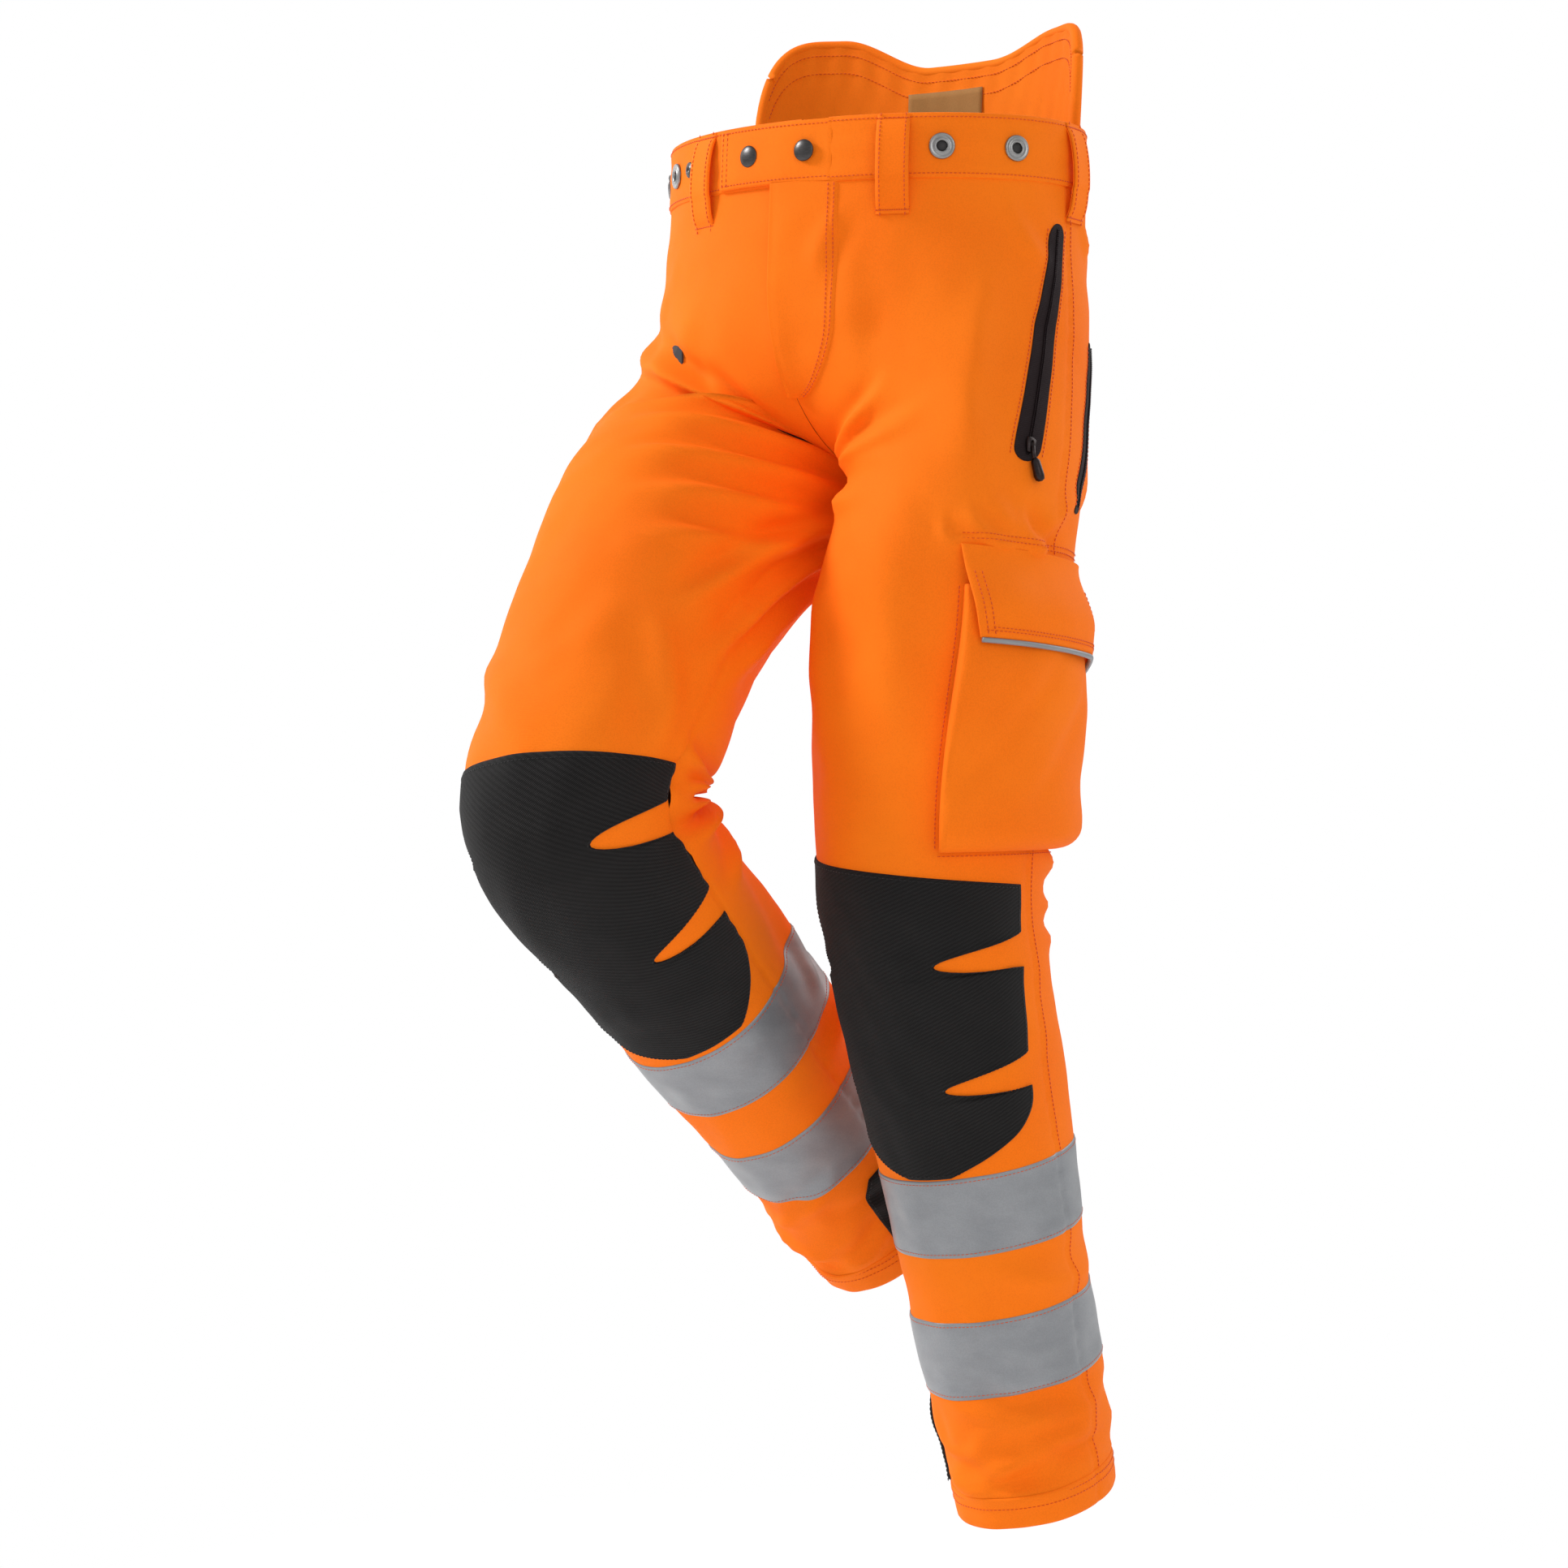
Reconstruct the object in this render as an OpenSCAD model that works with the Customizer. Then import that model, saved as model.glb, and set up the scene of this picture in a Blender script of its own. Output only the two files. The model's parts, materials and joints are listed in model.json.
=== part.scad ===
// Chainsaw protective trousers, worn in a walking stance, as separate named pieces.
// Millimetres. +Z is up, the front faces -Y and the wearer's left is +X.
// The origin is the middle of the waist opening, level with the top of the waistband.
//
// Every cloth layer is one patch of the same trouser surface, at its own depth. A place on that
// surface is a side (1 left, -1 right), a run (mm of cloth below the waist) and a turn: 0 is the
// centre front or the inseam, 90 the outseam and 180 the centre back or again the inseam.

/* [Waist and seat] */
// Half width of the waist
waist_half_width = 178; // [140:230]
// Half depth of the waist
waist_half_depth = 130; // [100:180]
// Half width at the hip
hip_half_width = 182; // [150:240]
// Half depth at the hip
hip_half_depth = 140; // [110:190]
// Height of the waistband
waistband_height = 50; // [35:60]
// Depth of the crotch below the waist
crotch_run = 268; // [230:320]
// How far the crotch seam lies behind the side seams
crotch_back = 15; // [0:30]

/* [Legs] */
// Sideways distance of each hip from the middle
hip_spread = 103; // [90:130]
// Depth of the hip below the waist
hip_run = 185; // [160:220]
// How far the hips lie in front of the middle
hip_forward = 45; // [0:60]
// Length of the thigh, hip to knee
thigh_length = 410; // [360:470]
// Length of the shin, knee to hem
shin_length = 489; // [420:540]
// Half width of a leg below the crotch, at the knee and at the hem
leg_half_widths = [98, 89, 58];
// Front half depth of the left leg, at the same three places
left_front_depths = [118, 76, 63];
// Front half depth of the right leg, at the same three places
right_front_depths = [118, 88, 63];
// Back half depth of a leg, at the same three places
back_depths = [112, 90, 78];

/* [Stance] */
// Left hip bent forward
left_hip_bend = 5; // [-20:60]
// Left knee bend
left_knee_bend = 17; // [0:90]
// Left thigh and shin leaning outwards
left_lean = [0, 4];
// Right hip bent forward
right_hip_bend = 35; // [-20:60]
// Right knee bend
right_knee_bend = 80; // [0:100]
// Right thigh and shin leaning outwards
right_lean = [-1.5, -6];

/* [Cloth] */
// Thickness of the outer shell cloth
shell_thickness = 1.2; // [0.8:0.1:2]
// Thickness of the saw protection pad
pad_thickness = 5; // [3:0.5:9]
// Thickness of the lining
lining_thickness = 0.8; // [0.5:0.1:1.5]
// Thickness of a knee patch
patch_thickness = 1.4; // [0.8:0.1:2.5]
// Height of a reflective band
band_height = 62; // [50:70]

/* [Hidden] */
columns = 24;
turn_step = 180 / columns;
line_step = 12;
centre_gap = 0.2;

crotch_start = 120;
outer_start = 70;
outer_span = 270;
edge_reach = 80;
seam_reach = 75;
seam_fade = 70;

knee_run = hip_run + thigh_length;
hem_run = knee_run + shin_length;
hip_bend_span = 170;
knee_bend_span = 100;
ring_hip_span = 230;
ring_knee_span = 250;

// Where the leg cloth bends with its joint, and where it is rigid again.
hip_zone = [crotch_run, 350];
knee_zone = [564, 660];
pivot_run = 240;
knee_pivot_run = 608;

// Depths of the layers below the outer face.
pad_face = -2.4;
lining_face = pad_face - pad_thickness - 0.8;

ring_runs = 26;
ring_outer = 10;
ring_bore = 4;
ring_depth = 2.4;
ring_turns = [45, 67.5, 150];

loop_turns_left = [32, 95, 140];
loop_turns_right = [-26, -95, -140, -180];
loop_width = 26;
loop_drop = 76;
loop_stand = 8;
loop_cloth = 1.6;

tab_span = [-18.5, 13.4];
tab_face = 2.2;
tab_cloth = 2.6;
stud_turns = [-8, 8.6];
spare_stud_turn = -35;

pocket_zip_ends = [[80, 84], [268, 80]];
vent_zip_ends = [[185, 104], [262, 101]];
zip_cloth = 1;

fly_teeth_top = 58;
fly_travel = 60;

cargo_runs = [356, 563];
cargo_turns = [64, 108];
cargo_depth = 22;
cargo_wall = 2;
flap_drop = 72;

orange = [1, 0.42, 0.08];
black = [0.14, 0.13, 0.13];
silver = [0.62, 0.63, 0.65];
steel = [0.45, 0.45, 0.47];
lining_grey = [0.3, 0.31, 0.33];
tan = [0.62, 0.42, 0.2];

// ---- the trouser surface ----

function unit(v) = v / norm(v);
function clamp01(x) = min(max(x, 0), 1);
function ease(x) = let (c = clamp01(x)) c * c * (3 - 2 * c);
function pick(side, left, right) = side > 0 ? left : right;

function hip_bend(side) = pick(side, left_hip_bend, right_hip_bend);
function knee_bend(side) = pick(side, left_knee_bend, right_knee_bend);
function lean(side) = pick(side, left_lean, right_lean);

function bone(side, forward, out) =
    [side * sin(out), -sin(forward) * cos(out), -cos(forward) * cos(out)];

// Direction of the leg at a run, turning over the two given spans.
function leg_direction(side, run, hip_span, knee_span) =
    let (
        thigh = bone(side, hip_bend(side), lean(side)[0]),
        shin = bone(side, hip_bend(side) - knee_bend(side), lean(side)[1]),
        h = ease((run - hip_run + hip_span / 2) / hip_span),
        k = ease((run - knee_run + knee_span / 2) / knee_span)
    )
    unit((1 - h) * [0, 0, -1] + h * ((1 - k) * thigh + k * shin));

line_count = ceil(hem_run / line_step) + 1;

function raw_line(side) = [
    for (i = 0, p = [0, 0, 0]; i <= line_count;
         p = p + line_step * leg_direction(side, (i + 0.5) * line_step, hip_bend_span, knee_bend_span),
         i = i + 1) p
];

function along(line, run) =
    let (q = run / line_step, i = min(floor(q), len(line) - 2), f = q - i)
    line[i] * (1 - f) + line[i + 1] * f;

function moved_line(line, to) = let (shift = to - along(line, hip_run)) [for (p = line) p + shift];

left_line = moved_line(raw_line(1), [hip_spread, -hip_forward, -hip_run]);
right_line = moved_line(raw_line(-1), [-hip_spread, -hip_forward, -hip_run]);

function centre(side, run) = along(pick(side, left_line, right_line), run);

function size_at(run, sizes) =
    let (top = sizes[0], knee = sizes[1], hem = sizes[2])
    lookup(run, [
        [crotch_run, top],
        [hip_run + 0.55 * thigh_length, 0.45 * top + 0.55 * knee + 2],
        [knee_run, knee],
        [knee_run + 0.45 * shin_length, (knee + hem) / 2],
        [hem_run, hem]
    ]);

function seat_half(run) = [
    lookup(run, [[0, waist_half_width], [hip_run, hip_half_width]]),
    lookup(run, [[0, waist_half_depth], [hip_run, hip_half_depth]])
];

function seam_blend(run) =
    let (t = clamp01((run - crotch_start) / (crotch_run - crotch_start))) 1 - sqrt(1 - t * t);

// One ring of the surface: everything that doesn't depend on the turn.
function plain_ring(side, run) =
    let (
        along_leg = leg_direction(side, run, ring_hip_span, ring_knee_span),
        out = unit([side, 0, 0] - side * along_leg[0] * along_leg)
    )
    [
        side, run, centre(side, run), out, side * cross(along_leg, out),
        size_at(run, leg_half_widths),
        size_at(run, pick(side, left_front_depths, right_front_depths)),
        size_at(run, back_depths),
        seat_half(run), seam_blend(run)
    ];

function wrap(turn) = turn < 0 ? turn + 180 : turn > 180 ? turn - 180 : turn;
function near_front(turn, reach) = ease(1 - turn / reach);
function near_back(turn, reach) = ease(1 - (180 - turn) / reach);

function leg_share(ring, turn) =
    let (edge = max(near_front(turn, edge_reach), near_back(turn, edge_reach)))
    edge * ring[9] + (1 - edge) * ease((ring[1] - outer_start) / outer_span);

function plain_point(ring, turn) =
    let (
        w = leg_share(ring, turn),
        seat = [ring[0] * ring[8][0] * sin(turn), -ring[8][1] * cos(turn), -ring[1]],
        depth = sin(2 * turn) >= 0 ? ring[6] : ring[7],
        leg = ring[2] - ring[3] * ring[5] * cos(2 * turn) + ring[4] * depth * sin(2 * turn)
    )
    (1 - w) * seat + w * leg;

function outward(ring, turn) =
    let (
        w = leg_share(ring, turn),
        seat = unit([ring[0] * sin(turn) / ring[8][0], -cos(turn) / ring[8][1], 0]),
        leg = ring[4] * sin(2 * turn) - ring[3] * cos(2 * turn)
    )
    unit((1 - w) * seat + w * leg);

function seam_point(ring, way) =
    [0, (1 - ring[9]) * way * ring[8][1] + ring[9] * crotch_back, -ring[1]];

crotch_point = [0, crotch_back, -crotch_run];
left_crotch_fix = crotch_point - plain_point(plain_ring(1, crotch_run), 0);
right_crotch_fix = crotch_point - plain_point(plain_ring(-1, crotch_run), 0);

// The ring with the corrections that bring its two edges onto the centre seam.
function full_ring(side, run) =
    let (ring = plain_ring(side, run))
    run <= crotch_run
        ? concat(ring, [seam_point(ring, -1) - plain_point(ring, 0),
                        seam_point(ring, 1) - plain_point(ring, 180), [0, 0, 0]])
        : concat(ring, [[0, 0, 0], [0, 0, 0],
                        exp(-pow((run - crotch_run) / seam_fade, 2))
                        * pick(side, left_crotch_fix, right_crotch_fix)]);

function ring_point(ring, free_turn, depth) =
    let (
        turn = wrap(free_turn),
        f = near_front(turn, seam_reach),
        b = near_back(turn, seam_reach)
    )
    plain_point(ring, turn) + f * ring[10] + b * ring[11] + max(f, b) * ring[12]
    + depth * outward(ring, turn) + [ring[0] * centre_gap, 0, 0];

function skin(side, run, turn, depth = 0) = ring_point(full_ring(side, run), turn, depth);

// Point of the waist oval, with a turn that goes on past the centre front to the wearer's right.
function waist_point(turn, run, depth) =
    let (half = seat_half(run))
    [half[0] * sin(turn), -half[1] * cos(turn), -run]
    + depth * unit([sin(turn) / half[0], -cos(turn) / half[1], 0]);

// ---- solids made from grids of points ----

// A slab from two equal grids of points, rows by columns: the outer face, then the inner one.
module slab(outer, inner, rows, cols, closed = false) {
    n = rows * cols;
    last = closed ? cols : cols - 1;
    function at(i, j) = i * cols + j % cols;
    quads = concat(
        [for (i = [0 : rows - 2], j = [0 : last - 1]) [at(i, j), at(i, j + 1), at(i + 1, j + 1), at(i + 1, j)]],
        [for (i = [0 : rows - 2], j = [0 : last - 1])
            [n + at(i, j), n + at(i + 1, j), n + at(i + 1, j + 1), n + at(i, j + 1)]],
        [for (j = [0 : last - 1]) [at(0, j), n + at(0, j), n + at(0, j + 1), at(0, j + 1)]],
        [for (j = [0 : last - 1])
            [at(rows - 1, j), at(rows - 1, j + 1), n + at(rows - 1, j + 1), n + at(rows - 1, j)]],
        closed ? [] : [for (i = [0 : rows - 2]) [at(i, 0), at(i + 1, 0), n + at(i + 1, 0), n + at(i, 0)]],
        closed ? [] : [for (i = [0 : rows - 2])
            [at(i, cols - 1), n + at(i, cols - 1), n + at(i + 1, cols - 1), at(i + 1, cols - 1)]]
    );
    triangles = [for (q = quads, k = [0, 1]) k == 0 ? [q[0], q[1], q[2]] : [q[0], q[2], q[3]]];
    polyhedron(concat(outer, inner), triangles);
}

// A patch of the trouser surface: outer depth, inner depth, runs and the turns at each run.
module cloth(side, runs, turns, depths) {
    rings = [for (run = runs) full_ring(side, run)];
    outer = [for (i = [0 : len(runs) - 1], turn = turns(runs[i])) ring_point(rings[i], turn, depths[0])];
    inner = [for (i = [0 : len(runs) - 1], turn = turns(runs[i])) ring_point(rings[i], turn, depths[1])];
    cols = len(turns(runs[0]));
    if (side > 0) slab(outer, inner, len(runs), cols);
    else slab(inner, outer, len(runs), cols);
}

// A closed sleeve round a leg.
module sleeve(side, runs, depths) {
    rings = [for (run = runs) full_ring(side, run)];
    outer = [for (ring = rings, j = [0 : columns - 1]) ring_point(ring, j * turn_step, depths[0])];
    inner = [for (ring = rings, j = [0 : columns - 1]) ring_point(ring, j * turn_step, depths[1])];
    if (side > 0) slab(outer, inner, len(runs), columns, true);
    else slab(inner, outer, len(runs), columns, true);
}

// A band of the waist oval between two turns, given as outer and inner depth.
module waist_arc(turns, runs, depths) {
    outer = [for (run = runs, turn = turns) waist_point(turn, run, depths[0])];
    inner = [for (run = runs, turn = turns) waist_point(turn, run, depths[1])];
    slab(outer, inner, len(runs), len(turns));
}

function steps(from, to, count) = [for (i = [0 : count]) from + (to - from) * i / count];

// Puts children at a place on the waist oval with local +Z outwards and local +Y up.
module on_waist(turn, run, depth) {
    half = seat_half(run);
    out = unit([sin(turn) / half[0], -cos(turn) / half[1], 0]);
    translate(waist_point(turn, run, depth))
        rotate([0, 0, atan2(out[1], out[0]) + 90])
            rotate([90, 0, 0])
                children();
}

// ---- waist ----

module waistband() {
    color(orange)
        waist_arc(steps(14.5, 367, 46), [0, waistband_height], [1.4, -1.6]);
}

module waist_elastic() {
    color(lining_grey)
        for (s = [-1, 1])
            waist_arc(s > 0 ? steps(72, 114, 6) : steps(-114, -72, 6), [7, 43], [-2.3, -3.5]);
}

module waist_tab() {
    color(orange)
        waist_arc(steps(tab_span[0], tab_span[1], 8), [1, waistband_height - 1],
                  [tab_face + tab_cloth, tab_face]);
}

module tab_studs() {
    color(steel)
        for (turn = stud_turns)
            on_waist(turn, 25, tab_face + tab_cloth + 0.6)
                rotate_extrude($fn = 48)
                    polygon([[0, 0], [8, 0], [8, 0.9], [6.6, 1.9], [0, 2.3]]);
}

module stud_sockets() {
    color(silver)
        for (place = [[stud_turns[0], 0.25], [spare_stud_turn, 2]])
            on_waist(place[0], 25, 1.6)
                cylinder(r = 3, h = place[1], $fn = 36);
}

module belt_loop(turn) {
    on_waist(turn, waistband_height / 2, 1.8)
        rotate([90, 0, 90])
            translate([0, 0, -loop_width / 2])
                linear_extrude(loop_width)
                    loop_outline(loop_foot(turn));
}

// Side view of a loop: it leaves the waistband near its top edge and comes back below it.
module loop_outline(foot) {
    high = 24;
    low = high - loop_drop;
    crest = loop_stand + loop_cloth;
    slope = 1.4 * loop_cloth;
    polygon([[high, 0], [high - 8, crest], [low + 8, crest], [low, foot], [low + 4, foot],
             [low + 8 + slope, loop_stand], [high - 8 - slope, loop_stand], [high - slope, 0]]);
}

// The seat flares below the band, so the foot of a loop stands off by this much.
function loop_foot(turn) =
    let (grow = seat_half(waistband_height / 2 + loop_drop) - seat_half(waistband_height / 2))
    0.7 + grow[0] * pow(sin(turn), 2) + grow[1] * pow(cos(turn), 2);

module belt_loops() {
    color(orange)
        for (turn = concat(loop_turns_left, loop_turns_right))
            belt_loop(turn);
}

// The band leans outwards as it goes down, so the flat fittings stand a little off it.
ring_face = 1.9;

module brace_rings() {
    color(silver)
        for (turn = ring_turns, s = [-1, 1])
            on_waist(s * turn, ring_runs, ring_face)
                difference() {
                    cylinder(r = ring_outer, h = ring_depth, $fn = 48);
                    translate([0, 0, -1])
                        cylinder(r = ring_bore, h = ring_depth + 2, $fn = 48);
                }
}

// ---- kidney guard ----

// Two lobes with a dip between them; the one on the wearer's right stands a little higher.
guard_turns = steps(115.5, 244.5, 28);
guard_lean = 5;
function guard_rise(turn) =
    let (away = abs(turn - 180), lobe = (turn > 180 ? 27 : 14) * ease((away - 10) / 26))
    (76 + lobe) * sqrt(clamp01(1 - pow(clamp01((away - 40) / 25), 3))) + 2;

module guard_sheet(turns, faces, trim) {
    outer = [for (level = [2, 1, 0], turn = turns) guard_point(turn, level, faces[0], trim)];
    inner = [for (level = [2, 1, 0], turn = turns) guard_point(turn, level, faces[1], trim)];
    slab(outer, inner, 3, len(turns));
}

// The guard stands straight inside the band and leans outwards above it, the same for its layers.
function guard_place(turn, height, depth) =
    waist_point(turn, -height, depth + guard_lean * max(height, 0) / 100);

// Level 0 is the lower edge, 1 is the top of the waistband and 2 is the upper edge.
function guard_point(turn, level, depth, trim) =
    let (narrow = 1 + 0.02 * max(trim, 0), rise = guard_rise(180 + (turn - 180) * narrow) - trim, low = -44)
    guard_place(turn, level > 1 ? rise * (level - 1) : low * (1 - level), depth);

module kidney_guard() {
    color(orange)
        guard_sheet(guard_turns, [-4, -5.2], 0);
}

module guard_foam() {
    color(lining_grey)
        guard_sheet(steps(121, 239, 28), [-6, -11], 4);
}

module guard_binding() {
    color(orange) {
        path = [for (turn = guard_turns) guard_point(turn, 2, -7.5, -3.4)];
        tube(path, 2.6);
    }
}

// A round tube along a path of points.
module tube(path, radius) {
    sides = 8;
    last = len(path) - 1;
    rings = [for (i = [0 : last])
        let (
            way = unit(path[min(i + 1, last)] - path[max(i - 1, 0)]),
            across = unit(cross(way, [0, 0.2, 1])),
            up = cross(across, way)
        )
        for (k = [0 : sides - 1])
            path[i] + radius * (across * cos(k * 360 / sides) + up * sin(k * 360 / sides))
    ];
    walls = [for (i = [0 : last - 1], k = [0 : sides - 1])
        [i * sides + k, i * sides + (k + 1) % sides, (i + 1) * sides + (k + 1) % sides, (i + 1) * sides + k]];
    triangles = [for (q = walls, h = [0, 1]) h == 0 ? [q[0], q[1], q[2]] : [q[0], q[2], q[3]]];
    polyhedron(rings, concat(triangles,
        [[for (k = [sides - 1 : -1 : 0]) k]], [[for (k = [0 : sides - 1]) last * sides + k]]));
}

module care_label() {
    turns = steps(172, 196, 4);
    outer = [for (height = [60, 4], turn = turns) guard_place(turn, height, -12)];
    inner = [for (height = [60, 4], turn = turns) guard_place(turn, height, -12.8)];
    color(tan)
        slab(outer, inner, 2, len(turns));
}

// ---- seat and fly ----

// The shell's front edges stay clear of the fly teeth.
function shell_turns(run) =
    let (open = 5 * ease((235 - run) / 30))
    [for (j = [0 : columns]) open + (180 - open) * j / columns];
function lining_turns(run) = [for (j = [1.5, for (k = [2 : columns - 2]) k, columns - 1.5]) j * turn_step];

shell_runs = steps(waistband_height + 0.6, crotch_run - 4, 8);

module hip_shell(side) {
    color(orange)
        cloth(side, shell_runs, function(run) shell_turns(run), [0, -shell_thickness]);
}

module hip_lining(side) {
    color(lining_grey)
        cloth(side, [54, 106, 158, 206], function(run) lining_turns(run),
              [lining_face, lining_face - lining_thickness]);
}

module seat_pocket() {
    color(orange)
        cloth(-1, steps(96, 236, 5), function(run) steps(112 + 0.02 * (run - 96), 158 - 0.02 * (run - 96), 6),
              [2.6, 1]);
}

function fly_edge(run) = 16.5 * sqrt(clamp01(1 - pow(clamp01((run - 150) / 68), 2))) + 1.5;

module fly_placket() {
    color(orange)
        cloth(1, steps(waistband_height + 2, 216, 10), function(run) steps(0, fly_edge(run), 4),
              [6.6, 5.4]);
}

module fly_zip() {
    color(black)
        for (side = [-1, 1])
            cloth(side, steps(fly_teeth_top, 196, 6), function(run) steps(0.01, 8, 2), [-2.7, -3.9]);
}

// The slider is one body on the front line of the fly, cut as a tapered shoe with its puller.
module zip_slider(length, width, height) {
    linear_extrude(height * 0.55)
        polygon([[-width / 2, 0], [width / 2, 0], [width * 0.36, -length], [-width * 0.36, -length]]);
    translate([0, -length * 0.6, height * 0.55])
        linear_extrude(height * 0.35)
            difference() {
                translate([-width * 0.3, -length * 1.7])
                    square([width * 0.6, length * 1.9]);
                translate([0, -length * 1.35])
                    circle(r = width * 0.16, $fn = 24);
            }
}

function fly_point(run) = skin(1, run, 0, 0) - [centre_gap, 0, 0];
// The front is straight this far down and curves in below, so the slider stops there.
fly_way = unit(fly_point(fly_teeth_top + fly_travel) - fly_point(fly_teeth_top));

module fly_slider() {
    color(steel)
        translate(fly_point(fly_teeth_top))
            rotate([90 + asin(-fly_way[1]), 0, 0])
                translate([0, 0, -1.2])
                    zip_slider(11, 8, 3.6);
}

// ---- pocket and vent zips ----

function between(ends, share) = ends[0] + (ends[1] - ends[0]) * share;
function zip_turns(ends, run, half) =
    let (mid = lookup(run, [for (e = ends) e])) steps(mid - half, mid + half, 3);

module zip_strip(side, ends, half) {
    color(black)
        cloth(side, steps(ends[0][0], ends[1][0], 6), function(run) zip_turns(ends, run, half),
              [0.9 + zip_cloth, 0.9]);
}

module pocket_zip(side) {
    zip_strip(side, pocket_zip_ends, 3.8);
}

module vent_zips() {
    for (side = [-1, 1])
        zip_strip(side, vent_zip_ends, 3.2);
}

// The slider rests at the lower end of its zip and runs straight up it.
function zip_end(side, k) = skin(side, pocket_zip_ends[k][0], pocket_zip_ends[k][1], 3.6);

module pocket_slider(side) {
    low = zip_end(side, 1);
    up = unit(zip_end(side, 0) - low);
    out = unit(skin(side, 200, 80, 10) - skin(side, 200, 80, 0));
    across = unit(cross(up, out));
    face = cross(across, up);
    color(black)
        multmatrix([
            [across[0], up[0], face[0], low[0]],
            [across[1], up[1], face[1], low[1]],
            [across[2], up[2], face[2], low[2]],
            [0, 0, 0, 1]
        ])
            translate([0, 12, 1.2])
                zip_slider(12, 8, 5);
}

module pocket_bags() {
    color(lining_grey)
        for (side = [-1, 1])
            cloth(side, steps(100, 256, 5), function(run) steps(40, 78, 5), [-3, -4.6]);
}

// ---- legs ----

pad_columns = [1 : 14];
function pad_turns(run) = [for (j = pad_columns) j * turn_step];

module leg_sleeve(side, from, to, count, face, thickness) {
    sleeve(side, steps(from, to, count), [face, face - thickness]);
}

// The slit along the inseam keeps the two edges of the panel apart below the crotch.
function zone_turns(run) =
    let (slit = run > crotch_run ? 0.4 : 0)
    [for (j = [0 : columns]) slit + (180 - 2 * slit) * j / columns];

module hip_zone_cloth(side) {
    color(orange)
        cloth(side, [for (run = [crotch_run + 1, 284, 304, 326, 349]) run],
              function(run) zone_turns(run), [0, -shell_thickness]);
}

module thigh_shell(side) {
    color(orange)
        leg_sleeve(side, hip_zone[1], knee_zone[0] - 1, 5, 0, shell_thickness);
}

module thigh_pad(side) {
    color(lining_grey)
        cloth(side, steps(354, knee_zone[0] - 6, 5), function(run) pad_turns(run),
              [pad_face, pad_face - pad_thickness]);
}

module thigh_lining(side) {
    color(lining_grey)
        leg_sleeve(side, 356, knee_zone[0] - 8, 5, lining_face, lining_thickness);
}

module knee_zone_cloth(side) {
    color(orange)
        leg_sleeve(side, knee_zone[0], knee_zone[1], 6, 0, shell_thickness);
}

module knee_pad(side) {
    color(lining_grey)
        cloth(side, steps(knee_zone[0] + 2, knee_zone[1] - 2, 5), function(run) pad_turns(run),
              [pad_face, pad_face - pad_thickness]);
}

module shin_shell(side) {
    color(orange)
        leg_sleeve(side, knee_zone[1] + 1, hem_run - 26, 7, 0, shell_thickness);
}

module shin_pad(side) {
    color(lining_grey)
        cloth(side, steps(knee_zone[1] + 5, hem_run - 50, 6), function(run) pad_turns(run),
              [pad_face, pad_face - pad_thickness]);
}

module shin_lining(side) {
    color(lining_grey)
        leg_sleeve(side, knee_zone[1] + 8, hem_run - 34, 6, lining_face, lining_thickness);
}

module hem(side) {
    color(orange)
        sleeve(side, [hem_run - 25, hem_run], [0.6, -2.2]);
}

band_tops_left = [803, 917];
band_tops_right = [790, 904];

module bands(side) {
    color(silver)
        for (top = pick(side, band_tops_left, band_tops_right))
            sleeve(side, [top, top + band_height], [1.7, 0.9]);
}

module ankle_guard(side) {
    color(black)
        cloth(side, steps(984, hem_run - 28, 3), function(run) steps(-17, 17, 6), [2, 0.9]);
}

// Outline of a knee patch: two side edges over the run, with a pointed slash from each side
// above and below the kneecap. The right patch sits turned towards the inside.
patch_ends_left = [572, 798];
patch_ends_right = [562, 784];
patch_slashes_left = [640, 730];
patch_slashes_right = [610, 690];
patch_turns_left = [12, 87];
patch_turns_right = [0, 75];
slash_half = 14;
slash_depth = 25;
patch_lift = 2;

function slash_runs(middle) = [for (k = [-2 : 2]) middle + k * slash_half / 3];
function patch_runs(side) =
    let (
        ends = pick(side, patch_ends_left, patch_ends_right),
        cuts = pick(side, patch_slashes_left, patch_slashes_right)
    )
    concat(steps(ends[0], cuts[0] - slash_half, 3), slash_runs(cuts[0]),
           steps(cuts[0] + slash_half, cuts[1] - slash_half, 3), slash_runs(cuts[1]),
           steps(cuts[1] + slash_half, ends[1], 4));

function slash(run, middle) = clamp01(1 - abs(run - middle) / slash_half);

// The columns stay where they are and crowd together only where a slash cuts them short.
function patch_turns(side, run) =
    let (
        count = 11,
        edges = pick(side, patch_turns_left, patch_turns_right),
        cuts = pick(side, patch_slashes_left, patch_slashes_right),
        low_end = pick(side, patch_ends_left, patch_ends_right)[1],
        round_end = 20 * pow(clamp01((run - low_end + 38) / 38), 2),
        cut = slash_depth * max(slash(run, cuts[0]), slash(run, cuts[1])),
        low = edges[0] + round_end + cut * pick(side, 0.5, 1),
        high = edges[1] - round_end - cut * pick(side, 1, 0.5)
    )
    [for (k = [0 : count])
        max(low + 0.2 * k, min(high - 0.2 * (count - k), edges[0] + (edges[1] - edges[0]) * k / count))];

module knee_patch(side) {
    color(black)
        cloth(side, patch_runs(side), function(run) patch_turns(side, run), [patch_lift + patch_thickness, patch_lift]);
}

// ---- cargo pocket on the left thigh ----

function cargo_point(run, turn, depth) = skin(1, run, turn, depth);

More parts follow.
